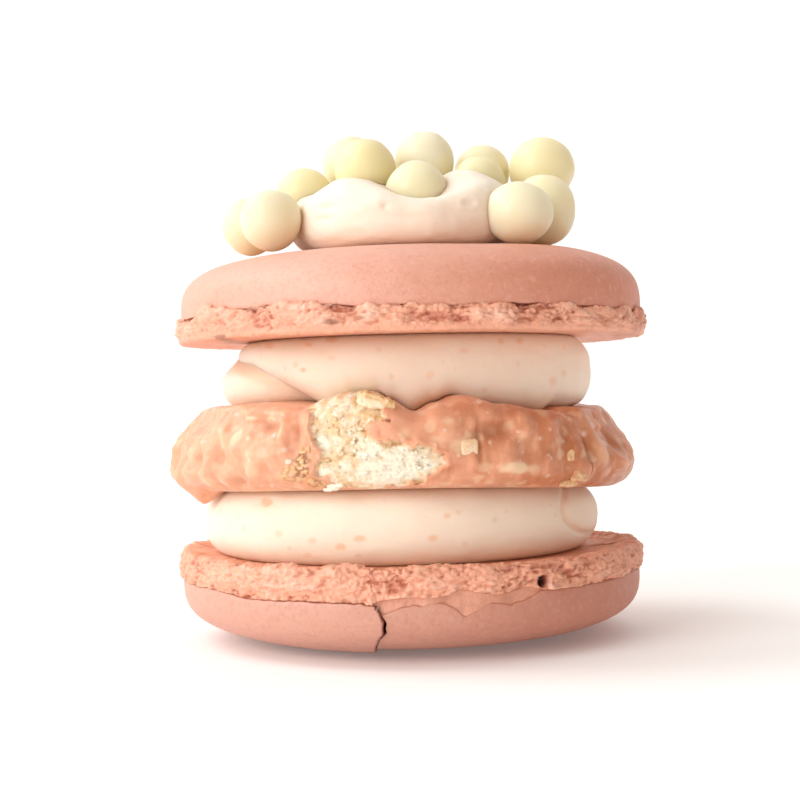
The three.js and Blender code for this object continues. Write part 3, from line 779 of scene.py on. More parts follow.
def broken_crumb(place):
    """Relief of the broken biscuit: grains of two sizes, thin layers and the splits between them. Also
    the distance from the middle of the smaller grains."""
    x, y, z = place
    bent = 0.3 * waves(place, 0.9, 0.9)
    near, which = scatter(x / 0.9 + bent, y / 0.9, z / 0.5 + bent)
    small, _ = scatter(x / 0.42 + bent, y / 0.42, z / 0.3)
    layers = noise(x / 2.2, y / 2.2, z / 0.4 + bent)
    split = 1 - smooth(np.abs(noise(x / 1.8 + 9, y / 1.8, z / 0.42 + bent)), 0.0, 0.12)
    return 0.7 * (0.6 - near) + 0.4 * (0.5 - small) + 0.3 * which + 0.4 * layers - 0.6 * split, small


def golden_share(place, inside):
    """Where the broken biscuit is golden, 0 to 1: at the top, at the left and along the patch's edge."""
    x, y, z = place
    top = smooth(z + 0.8 * waves(place, 1.3, 1.3), *GOLDEN_FROM)
    left = 0.9 * smooth(-x + 0.9 * noise(x / 1.1, y / 1.1, z / 0.6 + 4), 3.4, 5.4)
    return np.maximum(np.maximum(top, left), 1 - smooth(inside, 0.1, 0.5))


def notch_depth(place):
    """A narrow upright notch in the glaze near the biscuit's right end, 1 where it is deepest."""
    x, y, z = place
    line = NOTCH["x"] + 0.2 * noise(z / 1.3, 2.2, 5.5)
    across = 1 - smooth(np.abs(x - line), 0.06, 0.24)
    return across * (y < 0) * smooth(z, *NOTCH["starts"]) * (1 - smooth(z, *NOTCH["ends"]))


def biscuit(sizes):
    """The glazed biscuit: lumpy glaze with a lip round the broken patch, and layered crumb in it."""
    angles = uneven_angles(740, (2.2, -99, 24))
    points, sideways = disc_grid(BISCUIT, biscuit_bottom, biscuit_top, angles,
                                 flat_rows=8, edge_rows=116)
    place = np.moveaxis(points, 2, 0)
    x, y, z = place
    broken, inside = broken_share(place)
    relief, small = broken_crumb(place)
    golden = golden_share(place, inside)
    crumb = sizes.crumb_depth / MM * relief * mix(0.7, 1, golden)
    clump = flecked(CLUMP, place)
    lumps = glaze_relief(place, sizes.glaze_lumps / MM) + clump * (0.35 * (0.5 - small) + 0.1)
    notch = notch_depth(place)
    glaze = lumps - worn_ends(x, z) + 0.14 * ridge(inside, -0.25, 0.22) - notch
    points = pushed(points, BISCUIT, mix(glaze, crumb - PATCH_DEPTH, broken) * sideways)
    # Painted shadow in the crumb's pits, along the inside of the patch's edge, in the notch, left of the
    # slab and in a thin line under it
    under = np.clip((x + 4.2) / 2.4, 0, 1)
    thin_shadow = (x > -4.4) * (x < -1.6) * ridge(z - 22.05 + 0.8 * under, 0, 0.16)
    gap = np.maximum(soft_spot(x, z, *SLAB_SHADOW), thin_shadow) * (y < 0)
    pits = np.maximum(0.5 * np.clip(-crumb / 0.35, 0, 1), 0.25 * ridge(inside, 0.1, 0.12))
    recess_shade = np.maximum(broken * pits + notch, gap)
    # Painted shade between the crumbs of the clump.
    recess_shade = np.maximum(recess_shade, 0.8 * clump * smooth(small, 0.35, 0.6))
    # Pale bits and white specks, scattered and listed
    blob, which = scatter(x / 1.3, y / 1.3, z / 1.3)
    blob = blob + 0.2 * waves(place, 0.4, 0.4)
    showing = 0.55 * (1 - smooth(blob, 0.2, 0.5)) * smooth(which, 0.1, 0.5)
    dot, which = scatter(x / 0.9, y / 0.9, z / 0.9)
    speck = (1 - smooth(dot, 0.1, 0.22)) * (which > 0.55)
    for at_x, at_z, radius in GLAZE_SPECKS:
        off = np.hypot(x - at_x, z - at_z)
        speck = np.maximum(speck, (y < 0) * (1 - smooth(off, 0.5 * radius, 1.2 * radius)))
    # dark is painted shade in the glaze's dips, together with the amber places, which are the glaze's
    # own colour. raised is painted highlight on its lumps.
    dark = np.maximum(np.clip(-1.5 * lumps - 0.1, 0, 1), flecked(AMBER, place))
    return points, {"broken": broken, "recess_shade": recess_shade, "golden": golden, "clump": clump, "dark": dark,
                    "pale": np.maximum(flecked(GLAZE_BITS, place), showing), "speck": speck,
                    "raised": np.clip(1.2 * lumps - 0.1, 0, 1)}


def dollop(pearls):
    """The cream on top, with soft dents, and pressed down where pearls sit in it. Also where it is close
    to a pearl, 0 to 1."""
    angles = uneven_angles(CREAM_COLUMNS, TOWARDS_FRONT)
    points, sideways = disc_grid(DOLLOP, dollop_floor, dollop_ceiling, angles,
                                 flat_rows=40, edge_rows=70)
    points = pushed(points, DOLLOP, 0.25 * waves(np.moveaxis(points, 2, 0), 5, 4) * sideways)
    place = np.moveaxis(points, 2, 0)
    x, y, z = place
    off = np.hypot((x - DIMPLE["x"]) / 1.6, z - DIMPLE["z"])
    relief = (y < -4) * (0.1 * ridge(off, 0.55, 0.2) - 0.16 * ridge(off, 0, 0.35))
    for at_x, at_y, at_z, wide, tall, depth in DOLLOP_DENTS:
        off = ((x - at_x) / wide) ** 2 + ((y - at_y) / 1.5) ** 2 + ((z - at_z) / tall) ** 2
        relief = relief - depth * np.exp(-off)
    fine = 0.12 * waves(place, 2.2, 1.3) + 0.05 * waves(place, 0.8, 0.7)
    above = smooth(z - dollop_floor(x, y), 0.2, 1.0)
    points = points + outward(points) * ((relief + fine) * above)[..., None]
    # near is where the cream meets a pearl. The finish tints it there as painted shade.
    near = 0 * x
    for *middle, wide, tall in pearls:
        reach = np.array([wide, wide, tall]) / 2 - PRESSED
        off = (points - middle) / reach
        far = np.linalg.norm(off, axis=2, keepdims=True)
        points = np.where(far < 1, middle + off / np.maximum(far, 1e-6) * reach, points)
        near = np.maximum(near, 1 - smooth(far[..., 0], 0.98, 1.22))
    return points, {"near": near}


# Pearls and small loose pieces

def ball(middle, reach, turn, rough, seed, rows=10, columns=12, square=2.0):
    """A lump: an ellipsoid, or a squarer superellipsoid, turned about Z and roughened with noise."""
    tilt = np.radians(np.linspace(-90, 90, rows))[:, None]
    angles = np.linspace(0, 2 * np.pi, columns, endpoint=False)[None, :]

    def power(value):
        return np.sign(value) * np.abs(value) ** (2 / square)

    unit = np.stack([power(np.cos(tilt)) * power(np.cos(angles)),
                     power(np.cos(tilt)) * power(np.sin(angles)),
                     power(np.sin(tilt)) * np.ones_like(angles)], axis=2)
    bumpy = 1 + rough * noise(unit[..., 0] * 1.7 + seed, unit[..., 1] * 1.7, unit[..., 2] * 1.7 + seed)
    points = unit * bumpy[..., None] * np.array(reach)
    cos, sin = math.cos(turn), math.sin(turn)
    x, y = points[..., 0].copy(), points[..., 1].copy()
    points[..., 0], points[..., 1] = cos * x - sin * y, sin * x + cos * y
    points[0], points[-1] = points[0].mean(axis=0), points[-1].mean(axis=0)
    return points + np.array(middle)


def on_the_biscuit(x, z):
    """Distance in front (y) and direction (angle) of the biscuit's edge at a place seen from the front.
    The edge is the superellipse of disc_grid, so its radius is less towards the top and the bottom."""
    widest, fullness = BISCUIT["radius"] - SEAT_INSET, BISCUIT["fullness"]
    x_off = x - BISCUIT["x"]
    y = -math.sqrt(widest ** 2 - x_off ** 2)
    low, high = float(biscuit_bottom(x, y)), float(biscuit_top(x, y))
    height = min(abs(2 * (z - low) / (high - low) - 1), 0.93) ** fullness
    radius = widest - BISCUIT["edge"] * (1 - (1 - height) ** (1 / fullness))
    y = -math.sqrt(radius ** 2 - x_off ** 2)
    return y, math.atan2(y, x_off)


def stuck(x, z, stands):
    """Middle of a bit that stands out from the biscuit's edge by a distance, and its direction."""
    y, angle = on_the_biscuit(x, z)
    return (x + stands * math.cos(angle), y + stands * math.sin(angle), z), angle


def biscuit_slab():
    """A slab of biscuit that sticks up at the top of the broken patch: a squared lump that thins and
    falls towards the right, with ragged faces."""
    x, z = SLAB["x"], SLAB["z"]
    y, angle = on_the_biscuit(x, z)
    points = ball((0, 0, 0), SLAB["reach"], 0.0, 0.1, 7.7, rows=44, columns=90, square=3.4)
    along = points[..., 1]
    points[..., 2] = points[..., 2] * (1 - SLAB["thins"] * along) - SLAB["falls"] * along
    place = np.moveaxis(points, 2, 0)
    ragged = waves(place, 0.5, 0.35) + 0.6 * waves(place, 0.2, 0.16)
    points = points + 0.15 * outward(points) * ragged[..., None]
    height = points[..., 2] + SLAB["falls"] * along
    cos, sin = math.cos(angle), math.sin(angle)
    out, aside = points[..., 0] - 0.1, points[..., 1]
    placed = [x + cos * out - sin * aside, y + sin * out + cos * aside, z + points[..., 2]]
    golden = mix(0.5, 1, np.maximum(smooth(height, -0.1, 0.35), smooth(along, 0.2, 1.2)))
    return np.stack(placed, axis=2), {"pale": 1 + 0 * height, "golden": golden}


def biscuit_crumbs():
    """Small crumbs scattered over the broken patch."""
    grids = []
    draw = np.random.default_rng(CRUMB_SEED)
    while len(grids) < CRUMB_COUNT:
        x, z = draw.uniform(-11.5, 3.0), draw.uniform(15.6, 22.6)
        y, _ = on_the_biscuit(x, z)
        _, inside = broken_share(np.array([[x], [y], [z]]))
        if inside[0] < 0.15:
            continue
        size = draw.uniform(0.09, 0.19)
        reach = size * np.array([1.0, draw.uniform(0.9, 1.8), draw.uniform(0.5, 1.0)])
        middle, angle = stuck(x, z, draw.uniform(-0.5, -0.3))
        seed = (len(grids) + 1) * 0.9
        points = ball(middle, reach, angle + draw.uniform(-0.6, 0.6), 0.5, seed, rows=6, columns=7,
                      square=3.5)
        golden = float(smooth(z + draw.uniform(-1, 1), *GOLDEN_FROM)) if x > -5 else 1.0
        grids.append((points, {"pale": np.ones((6, 7)), "golden": np.full((6, 7), 0.8 * golden)}))
    return grids


def biscuit_bits():
    """The slab, the listed bits of biscuit and caramel stuck to the front, and the crumbs."""
    grids = [biscuit_slab()]
    for number, (x, z, along, out, up, stands, pale, golden, square) in enumerate(BITS):
        middle, angle = stuck(x, z, stands)
        rough = 0.16 if square < 4 else 0.05
        points = ball(middle, (out, along, up), angle, rough, number * 1.7, rows=18, columns=24,
                      square=square)
        edge = waves(np.moveaxis(points, 2, 0), 0.35, 0.35)
        points = points + 0.5 * rough * outward(points) * edge[..., None]
        height = (points[..., 2] - z) / up
        marks = {"pale": pale + 0 * height, "golden": golden * mix(0.45, 1, smooth(height, -0.3, 0.8))}
        grids.append((points, marks))
    return grids + biscuit_crumbs()


def pearl_places():
    """Middle, width and height of each pearl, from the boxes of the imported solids."""
    places = []
    for number in range(1, PEARL_COUNT + 1):
        low, high = (np.array(corner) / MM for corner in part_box(f"pearl_{number:02d}"))
        middle = (low + high) / 2
        middle[2] -= PEARL_DROPS.get(number, 0)
        places.append((*middle, (high[0] - low[0]) / 0.975, high[2] - low[2]))
    return places


# Finishes

class Wire:
    """A shader value: one output socket of a node, with arithmetic as ordinary operators."""

    def __init__(self, tree, socket):
        self.tree = tree
        self.socket = socket

    def maths(self, operation, *values):
        node = self.tree.nodes.new("ShaderNodeMath")
        node.operation = operation
        for socket, value in zip(node.inputs, values):
            feed(self.tree, socket, value)
        return Wire(self.tree, node.outputs[0])

    def __add__(self, other):
        return self.maths("ADD", self, other)

    def __radd__(self, other):
        return self.maths("ADD", other, self)

    def __sub__(self, other):
        return self.maths("SUBTRACT", self, other)

    def __rsub__(self, other):
        return self.maths("SUBTRACT", other, self)

    def __mul__(self, other):
        return self.maths("MULTIPLY", self, other)

    def __rmul__(self, other):
        return self.maths("MULTIPLY", other, self)

    def between(self, low, high):
        """0 below low, 1 above high, and an even S between."""
        node = self.tree.nodes.new("ShaderNodeMapRange")
        node.interpolation_type = "SMOOTHSTEP"
        feed(self.tree, node.inputs["Value"], self)
        node.inputs["From Min"].default_value = low
        node.inputs["From Max"].default_value = high
        return Wire(self.tree, node.outputs["Result"])


def feed(tree, socket, value):
    """Gives an input socket a wire or a plain value."""
    if isinstance(value, Wire):
        tree.links.new(value.socket, socket)
    elif socket.type == "RGBA":
        socket.default_value = (*value[:3], 1.0)
    else:
        socket.default_value = value


def blended(tree, share, first, second):
    """The first colour where share is 0, the second where it is 1."""
    made = tree.nodes.new("ShaderNodeMix")
    made.data_type = "RGBA"
    # A colour mix takes its share from socket 0 and its colours from sockets 6 and 7
    for number, value in ((0, share), (6, first), (7, second)):
        feed(tree, made.inputs[number], value)
    return Wire(tree, made.outputs[2])


class Finish:
    """A material with a Principled shader, and the nodes that feed it."""

    def __init__(self, name, **values):
        self.material = bpy.data.materials.new(name)
        self.material.use_nodes = True
        self.tree = self.material.node_tree
        self.shader = self.tree.nodes["Principled BSDF"]
        self.place = self.node("ShaderNodeTexCoord", output="Object")
        self.set(**values)

    def set(self, **values):
        """Sets inputs of the Principled shader; Base_Color stands for Base Color."""
        for key, value in values.items():
            feed(self.tree, self.shader.inputs[key.replace("_", " ")], value)

    def node(self, kind, settings=None, output=0, **values):
        """A node of any kind: its settings first, then its inputs. Gives one of its outputs."""
        made = self.tree.nodes.new(kind)
        for key, value in (settings or {}).items():
            setattr(made, key, value)
        for key, value in values.items():
            feed(self.tree, made.inputs[key.replace("_", " ")], value)
        return Wire(self.tree, made.outputs[output])

    def mark(self, name):
        """A value stored on the mesh's points."""
        return self.node("ShaderNodeAttribute", {"attribute_name": name}, output="Fac")

    def grain(self, size, detail=2.0, stretch=(1, 1, 1)):
        """Soft noise from 0 to 1, with patches about size millimetres across."""
        spot = self.node("ShaderNodeVectorMath", {"operation": "MULTIPLY"}, Vector=self.place)
        spot.socket.node.inputs[1].default_value = stretch
        return self.node("ShaderNodeTexNoise", Vector=spot, Scale=1 / (size * MM), Detail=detail,
                         Roughness=0.55)

    def cells(self, size):
        """Distance from scattered points, about 0 to 1, with cells about size millimetres across."""
        return self.node("ShaderNodeTexVoronoi", output="Distance", Vector=self.place,
                         Scale=1 / (size * MM))

    def blend(self, share, first, second):
        return blended(self.tree, share, first, second)

    def bump(self, height, depth):
        """A bump of a height from 0 to 1 over a depth in millimetres."""
        normal = self.node("ShaderNodeBump", Height=height, Distance=depth * MM, Strength=1.0)
        self.set(Normal=normal)

    def along(self, axis, low, high):
        """0 below a place on an axis and 1 above another, in millimetres."""
        place = self.node("ShaderNodeSeparateXYZ", output=axis, Vector=self.place)
        return place.between(low * MM, high * MM)


def scaled(colour, share):
    return tuple(part * share for part in colour)


# Colours of single small places
BAKED_BROWN = (0.32, 0.12, 0.06)
# Painted shade: near black, for the depth of the crack and the hole in the bottom shell.
CRACK_SHADOW = (0.04, 0.012, 0.008)
SPECK_WHITE = (0.9, 0.76, 0.66)


def shell_finish(colours, baked):
    """Skin that is paler at the left as painted light from the key lamp and darker at the right as
    painted shade, and a rough foot with painted shade in its hollows and painted highlight on its
    crests. baked darkens the skin as painted shade for the bottom shell: 1 is as chosen.
    """
    made = Finish("almond shell", Roughness=0.5, IOR=1.5, Specular_IOR_Level=0.8,
                  Subsurface_Weight=0.1, Subsurface_Radius=(1.0, 0.4, 0.25), Subsurface_Scale=1.0 * MM)
    names = ("crumb", "recess_shade", "spot", "crack", "crest_highlight")
    crumb, recess_shade, spot, crack, crest_highlight = (made.mark(name) for name in names)
    speckle = made.grain(0.5, 3)
    patches = made.grain(2.2, 2)
    # Painted light and shade: the skin runs from pale at the left, where the key lamp falls, to darker
    # at the right, broken up by random patches.
    across = made.along("X", -12, 26) + 0.5 * (patches - 0.5)
    skin = made.blend(across, scaled(colours.skin_lit_and_dusty, baked), scaled(colours.skin, baked))
    skin = made.blend(speckle.between(0.45, 0.75) * 0.28, skin, scaled(colours.skin, 0.84 * baked))
    dusty = made.grain(0.55, 3).between(0.52, 0.72)
    skin = made.blend(dusty * 0.35, skin, scaled(colours.skin_lit_and_dusty, 1.12 * baked))
    mottled = made.grain(0.9, 3).between(0.35, 0.65)
    foot = made.blend(mottled, scaled(colours.foot, 0.92), scaled(colours.foot, 1.05))
    # Painted highlight: the foot's crests are lighter.
    foot = made.blend(crest_highlight.between(0.1, 1.0) * 0.5, foot, colours.foot_crest_highlight)
    # Painted shade: the foot turns darker, towards the skin's colour, at its far right end.
    foot = made.blend(across.between(0.93, 1.05) * 0.85, foot, scaled(colours.skin, 0.92))
    colour = made.blend(crumb, skin, foot)
    # Painted shade in the foot's hollows and pits and in the hole.
    colour = made.blend(recess_shade.between(0.08, 0.85) * 0.8, colour, colours.foot_recess_shade)
    colour = made.blend(spot * 0.7, colour, BAKED_BROWN)
    # Painted shade in the crack and the hole.
    colour = made.blend(crack.between(0.2, 0.9) * 0.95, colour, CRACK_SHADOW)
    made.set(Base_Color=colour)
    made.bump(made.grain(0.25, 3) * (1 + 1.5 * crumb) + 0.6 * made.grain(1.1, 2), 0.05)
    return made.material


def cream_finish(colours):
    """Soft cream with caramel flecks, scattered and listed, and painted shade in the lobe's crease under
    the rope and in the lower cream's groove.
    """
    made = Finish("cream", Roughness=0.5, IOR=1.4, Specular_IOR_Level=0.35,
                  Subsurface_Weight=0.5, Subsurface_Radius=(1.2, 0.7, 0.4), Subsurface_Scale=2.0 * MM)
    patches = made.grain(3.0, 2)
    colour = made.blend((patches - 0.3) * 1.5, scaled(colours.cream, 0.97), scaled(colours.cream, 1.03))
    speck = 1 - made.cells(2.6).between(0.07, 0.15)
    colour = made.blend(speck * 0.3, colour, colours.fleck_and_crease_shade)
    colour = made.blend(made.mark("fleck_and_crease_shade") * 0.7, colour, colours.fleck_and_crease_shade)
    made.set(Base_Color=colour)
    made.bump(made.grain(0.8, 3), 0.05)
    return made.material


def topping_finish(colours):
    """The dollop's cream, with painted shade: warmer at its foot and close to the pearls."""
    made = Finish("topping cream", Roughness=0.5, IOR=1.4, Specular_IOR_Level=0.3,
                  Subsurface_Weight=0.5, Subsurface_Radius=(1.0, 0.8, 0.65), Subsurface_Scale=2.5 * MM)
    # Painted shade: warmer towards the dollop's foot.
    colour = made.blend(made.along("Z", 37.2, 40.8), colours.topping_foot_shade, colours.topping)
    colour = made.blend(made.mark("near") * 0.8, colour, colours.topping_pearl_shade)
    made.set(Base_Color=colour)
    made.bump(made.grain(0.9, 2), 0.05)
    return made.material


def biscuit_finish(colours):
    """Glaze that is paler at the left as painted light, with painted highlight on its raised lumps and
    in streaks and painted shade in its dips, and dull crumb where it is broken, with painted shade in
    its pits, the notch and beside the slab.
    """
    made = Finish("glazed biscuit", IOR=1.45, Specular_IOR_Level=0.4,
                  Subsurface_Weight=0.3, Subsurface_Radius=(1.0, 0.45, 0.25), Subsurface_Scale=1.2 * MM)
    names = ("broken", "recess_shade", "golden", "pale", "speck", "dark", "clump", "raised")
    broken, recess_shade, golden, seen_bit, speck, dark, clump, raised = (made.mark(name) for name in names)
    broad = made.grain(3.5, 2).between(0.35, 0.65)
    fine = made.grain(0.7, 3).between(0.4, 0.7)
    # Painted light: the glaze runs from pale at the left, where the key lamp falls, to darker at the
    # right.
    across = made.along("X", -5, 12.5)
    glaze = made.blend(across + 0.5 * (broad - 0.5), colours.glaze_lit, colours.glaze)
    glaze = made.blend(fine * 0.3, glaze, made.blend(across, colours.glaze, colours.glaze_deep))
    # Painted shade: the colour of the glaze's dips, paler at the lit left.
    shade = made.blend(across, scaled(colours.glaze_lit, 0.82), colours.glaze_deep)
    glaze = made.blend(dark * 0.7, glaze, shade)
    # Painted highlight on the glaze's raised lumps.
    glaze = made.blend(raised * 0.7, glaze, scaled(colours.glaze_lit, 1.1))
    # Painted highlight: pale upright streaks over the glaze.
    streak = made.grain(1.1, 4, (1, 1, 0.4)).between(0.5, 0.68)
    glaze = made.blend(streak * 0.35, glaze, scaled(colours.glaze_lit, 1.14))
    glaze = made.blend(seen_bit * 0.85, glaze, colours.glaze_bit)
    glaze = made.blend(speck * 0.45, glaze, SPECK_WHITE)
    pale = made.blend(made.grain(0.5, 3).between(0.4, 0.65), colours.crumb, scaled(colours.crumb, 0.9))
    crumb = made.blend(golden * made.grain(0.9, 2).between(0.3, 0.65) * 0.75, pale, colours.crumb_golden)
    glaze = made.blend(clump * made.grain(0.45, 2).between(0.35, 0.6), glaze, colours.crumb_golden)
    colour = made.blend(broken, glaze, crumb)
    deep = made.blend(broken, scaled(colours.glaze_deep, 0.55), colours.crumb_pit_shade)
    # Painted shade in the crumb's pits, the notch, beside the slab and between the clump's crumbs.
    colour = made.blend(recess_shade.between(0.0, 1.0) * 0.85, colour, deep)
    made.set(Base_Color=colour, Roughness=0.37 + 0.45 * broken)
    made.bump(made.grain(0.35, 3) * (0.4 + 0.8 * broken), 0.07)
    return made.material


def pearl_finish(colours):
    """Smooth chocolate, from pale to golden by each pearl's own tint."""
    made = Finish("pearl", Roughness=0.42, IOR=1.45, Specular_IOR_Level=0.45,
                  Subsurface_Weight=0.8, Subsurface_Radius=(1.0, 0.75, 0.5), Subsurface_Scale=3.5 * MM)
    colour = made.blend(made.mark("tint"), colours.pearl, colours.pearl_golden)
    colour = made.blend(made.grain(1.5, 2).between(0.45, 0.7) * 0.25, colour, colours.pearl_golden)
    made.set(Base_Color=colour)
    made.bump(made.grain(0.9, 2), 0.03)
    return made.material


def bits_finish(colours):
    """For bits of biscuit and caramel: 0 in the pale mark is glaze, 1 is pale crumb."""
    made = Finish("bits", Roughness=0.65, IOR=1.4, Specular_IOR_Level=0.3,
                  Subsurface_Weight=0.1, Subsurface_Radius=(1.0, 0.6, 0.3), Subsurface_Scale=0.6 * MM)
    pale, golden = made.mark("pale"), made.mark("golden")
    glaze = made.blend(made.grain(0.6, 2).between(0.35, 0.65), colours.glaze, colours.glaze_bit)
    colour = made.blend(pale, glaze, colours.crumb)
    golden_part = golden * (0.6 + 0.4 * made.grain(0.4, 3).between(0.35, 0.6))
    colour = made.blend(golden_part, colour, colours.crumb_golden)
    made.set(Base_Color=colour)
    made.bump(made.grain(0.25, 3), 0.06)
    return made.material


# What a user can change

def length(name, default, description):
    return FloatProperty(name=name, description=description, default=default, min=0.0, soft_max=0.005,
                         unit="LENGTH", precision=5)


def colour(name, default, description):
    return FloatVectorProperty(name=name, description=description, default=default, min=0.0, max=1.0,
                               size=3, subtype="COLOR")


def number(name, default, highest, description):
    return FloatProperty(name=name, description=description, default=default, min=0.0, soft_max=highest)


def bearing(name, degrees, description):
    return FloatProperty(name=name, description=description, default=math.radians(degrees),
                         subtype="ANGLE")


class MacaronSizes(bpy.types.PropertyGroup):
    foot_depth: length("Foot depth", 0.5 * MM, "How far the ruffles of a shell's foot stand out")
    foot_bubble: length("Foot bubbles", 1.15 * MM, "Width of the bubbles in a shell's foot")
    glaze_lumps: length("Glaze lumps", 0.17 * MM, "Height of the small lumps in the glaze")
    crumb_depth: length("Crumb depth", 0.4 * MM, "Roughness of the biscuit where its glaze is broken")


class MacaronColours(bpy.types.PropertyGroup):
    skin: colour("Skin", (0.63, 0.215, 0.125), "Smooth skin of the shells")
    # Painted light: the shells' skin turns to this colour at the left, where the key lamp falls. It also
    # gives the pale dusty mottles.
    skin_lit_and_dusty: colour("Pale skin", (0.79, 0.4, 0.295), "Skin where it is less baked")
    foot: colour("Foot", (0.87, 0.4, 0.255), "Crumb of the shells' feet")
    # Painted highlight: the colour of the lit crests of the feet.
    foot_crest_highlight: colour("Foot tips", (0.93, 0.57, 0.43), "Crests of the shells' feet")
    # Painted shade: the colour put into the hollows and pits of the feet and into the hole.
    foot_recess_shade: colour("Foot hollows", (0.52, 0.14, 0.075), "Pits and cracks of the shells")
    cream: colour("Cream", (0.94, 0.8, 0.66), "Piped cream of both layers")
    # Besides caramel specks, this colour is painted shade in the creams' creases.
    fleck_and_crease_shade: colour("Flecks", (0.84, 0.5, 0.28), "Specks of caramel in the cream")
    topping: colour("Topping", (0.95, 0.81, 0.68), "Cream on the top shell")
    # Painted shade of the dollop's foot, where it meets the shell.
    topping_foot_shade: colour("Topping foot", (1.0, 0.83, 0.68), "The topping where it meets the shell")
    # Painted shade in the creases round the pearls.
    topping_pearl_shade: colour("Topping by pearls", (0.97, 0.66, 0.43), "The topping close to the pearls")
    glaze: colour("Glaze", (0.61, 0.23, 0.11), "Glaze of the biscuit")
    # Painted light: the glaze's colour at the left, where the key lamp falls, on its raised lumps and in
    # its pale streaks.
    glaze_lit: colour("Pale glaze", (0.87, 0.45, 0.29), "Glaze where it lies thick")
    glaze_bit: colour("Glaze bits", (0.9, 0.66, 0.43), "Pale bits that show through the glaze")
    glaze_deep: colour("Glaze hollows", (0.48, 0.15, 0.055), "Darker patches of the glaze")
    crumb: colour("Crumb", (0.96, 0.87, 0.7), "Broken biscuit")
    crumb_golden: colour("Golden crumb", (0.83, 0.51, 0.23), "Baked parts of the broken biscuit")
    # Painted shade: the colour put into the pits of the broken biscuit.
    crumb_pit_shade: colour("Crumb hollows", (0.76, 0.48, 0.22), "Pits of the broken biscuit")
    pearl: colour("Pearl", (0.82, 0.78, 0.6), "Palest pearls")
    pearl_golden: colour("Golden pearl", (0.82, 0.73, 0.42), "Yellowest pearls")


class MacaronStage(bpy.types.PropertyGroup):
    sky: number("Sky", 1.12, 3.0, "Strength of the even light from all sides")
    front: number("Front sky", 0.375, 1.0, "Share of the even light that comes from the camera's side")
    sky_colour: colour("Sky colour", (1.0, 0.96, 0.92), "Colour of the even light")
    shade_colour: colour("Shade colour", (1.0, 0.84, 0.74), "Its colour on the camera's side")
    key: number("Key light", 1.87, 20.0, "Strength of the large soft lamp at the front left")
    key_from: bearing("Key direction", -138, "Side that the key lamp stands on, seen from above")
    key_height: bearing("Key height", 20, "How high over the table the key lamp stands")
    sheen: number("Sheen light", 0.9, 20.0, "Strength of the soft lamp high at the back left")
    sheen_from: bearing("Sheen direction", 165, "Side that the sheen lamp stands on, seen from above")
    sheen_height: bearing("Sheen height", 50, "How high over the table the sheen lamp stands")
    floor: colour("Table", (0.93, 0.93, 0.93), "Colour of the table")
    glow: number("Table glow", 0.1, 1.0, "How much the pale table is lit from below")


# The stage

def add_sky(scene, stage):
    """Even light, dimmer and warmer from the camera's side than from the backdrop's side."""
    world = bpy.data.worlds.new("soft white")
    world.use_nodes = True
    tree = world.node_tree
    direction = tree.nodes.new("ShaderNodeTexCoord")
    parts = tree.nodes.new("ShaderNodeSeparateXYZ")
    tree.links.new(direction.outputs["Generated"], parts.inputs["Vector"])
    left, back, up = (Wire(tree, parts.outputs[axis]) for axis in "XYZ")
    behind = (back * 0.88 - left * 0.45 + up * 0.4).between(-0.3, 0.7)
    sky = tree.nodes["Background"]
    feed(tree, sky.inputs["Color"], blended(tree, behind, stage.shade_colour, stage.sky_colour))
    feed(tree, sky.inputs["Strength"], stage.sky * (stage.front + (1 - stage.front) * behind))
    scene.world = world


def add_table(scene, stage):
    table = bpy.data.meshes.new("table")
    half = 1.5
    table.from_pydata([(-half, -half, 0), (half, -half, 0), (half, half, 0), (-half, half, 0)], [],
                      [(0, 1, 2, 3)])
    finish = Finish("table", Roughness=0.8, Specular_IOR_Level=0.1, Emission_Color=(1, 1, 1, 1),
                    Emission_Strength=stage.glow)
    finish.set(Base_Color=finish.blend(finish.grain(40, 2), scaled(stage.floor, 0.99), stage.floor))
    table.materials.append(finish.material)
    floor = bpy.data.objects.new("table", table)
    scene.collection.objects.link(floor)


def add_lamp(scene, name, energy, side, height, wide):
    """A soft sun, wide degrees across, that shines from a side and a height on the macaron."""
    lamp = bpy.data.lights.new(name, "SUN")
    lamp.angle = math.radians(wide)
    lamp.energy = energy
    lamp.color = (0.96, 0.99, 1.0)
    light = bpy.data.objects.new(name, lamp)
    flat = LAMP_DISTANCE * math.cos(height)
    light.location = (flat * math.cos(side), flat * math.sin(side), LAMP_DISTANCE * math.sin(height))
    light.rotation_euler = (-light.location).to_track_quat("-Z", "Y").to_euler()
    scene.collection.objects.link(light)


def add_camera(scene):
    """A level camera in front of the macaron, turned a little about its own line of sight."""
    lens = bpy.data.cameras.new("camera")
    lens.lens = CAMERA["lens"]
    lens.sensor_width = 36
    lens.clip_start = 0.01
    camera = bpy.data.objects.new("camera", lens)
    cos, sin = math.cos(CAMERA["roll"]), math.sin(CAMERA["roll"])
    x, y, z = (CAMERA[axis] * MM for axis in "xyz")
    camera.matrix_world = Matrix(((cos, sin, 0, x), (0, 0, -1, y), (-sin, cos, 0, z), (0, 0, 0, 1)))
    scene.collection.objects.link(camera)
    scene.camera = camera


# One operator for each piece or group

class MACARON_OT_shells(bpy.types.Operator):
    """Add the two almond shells"""
    bl_idname = "macaron.shells"
    bl_label = "Shells"

    def execute(self, context):
        sizes, colours = context.scene.macaron_sizes, context.scene.macaron_colours
        # Painted shade: the bottom shell takes a darker copy of the finish, for the weaker light that
        # reaches it.
        low, high = shell_finish(colours, 0.86), shell_finish(colours, 1.0)
        new_piece("bottom_almond_shell", [bottom_shell(sizes)], low, ["shell_bottom"])
        new_piece("top_almond_shell", [top_shell(sizes)], high, ["shell_top"])
        new_piece("shell_slivers", seat_slivers(), low)
        return {"FINISHED"}


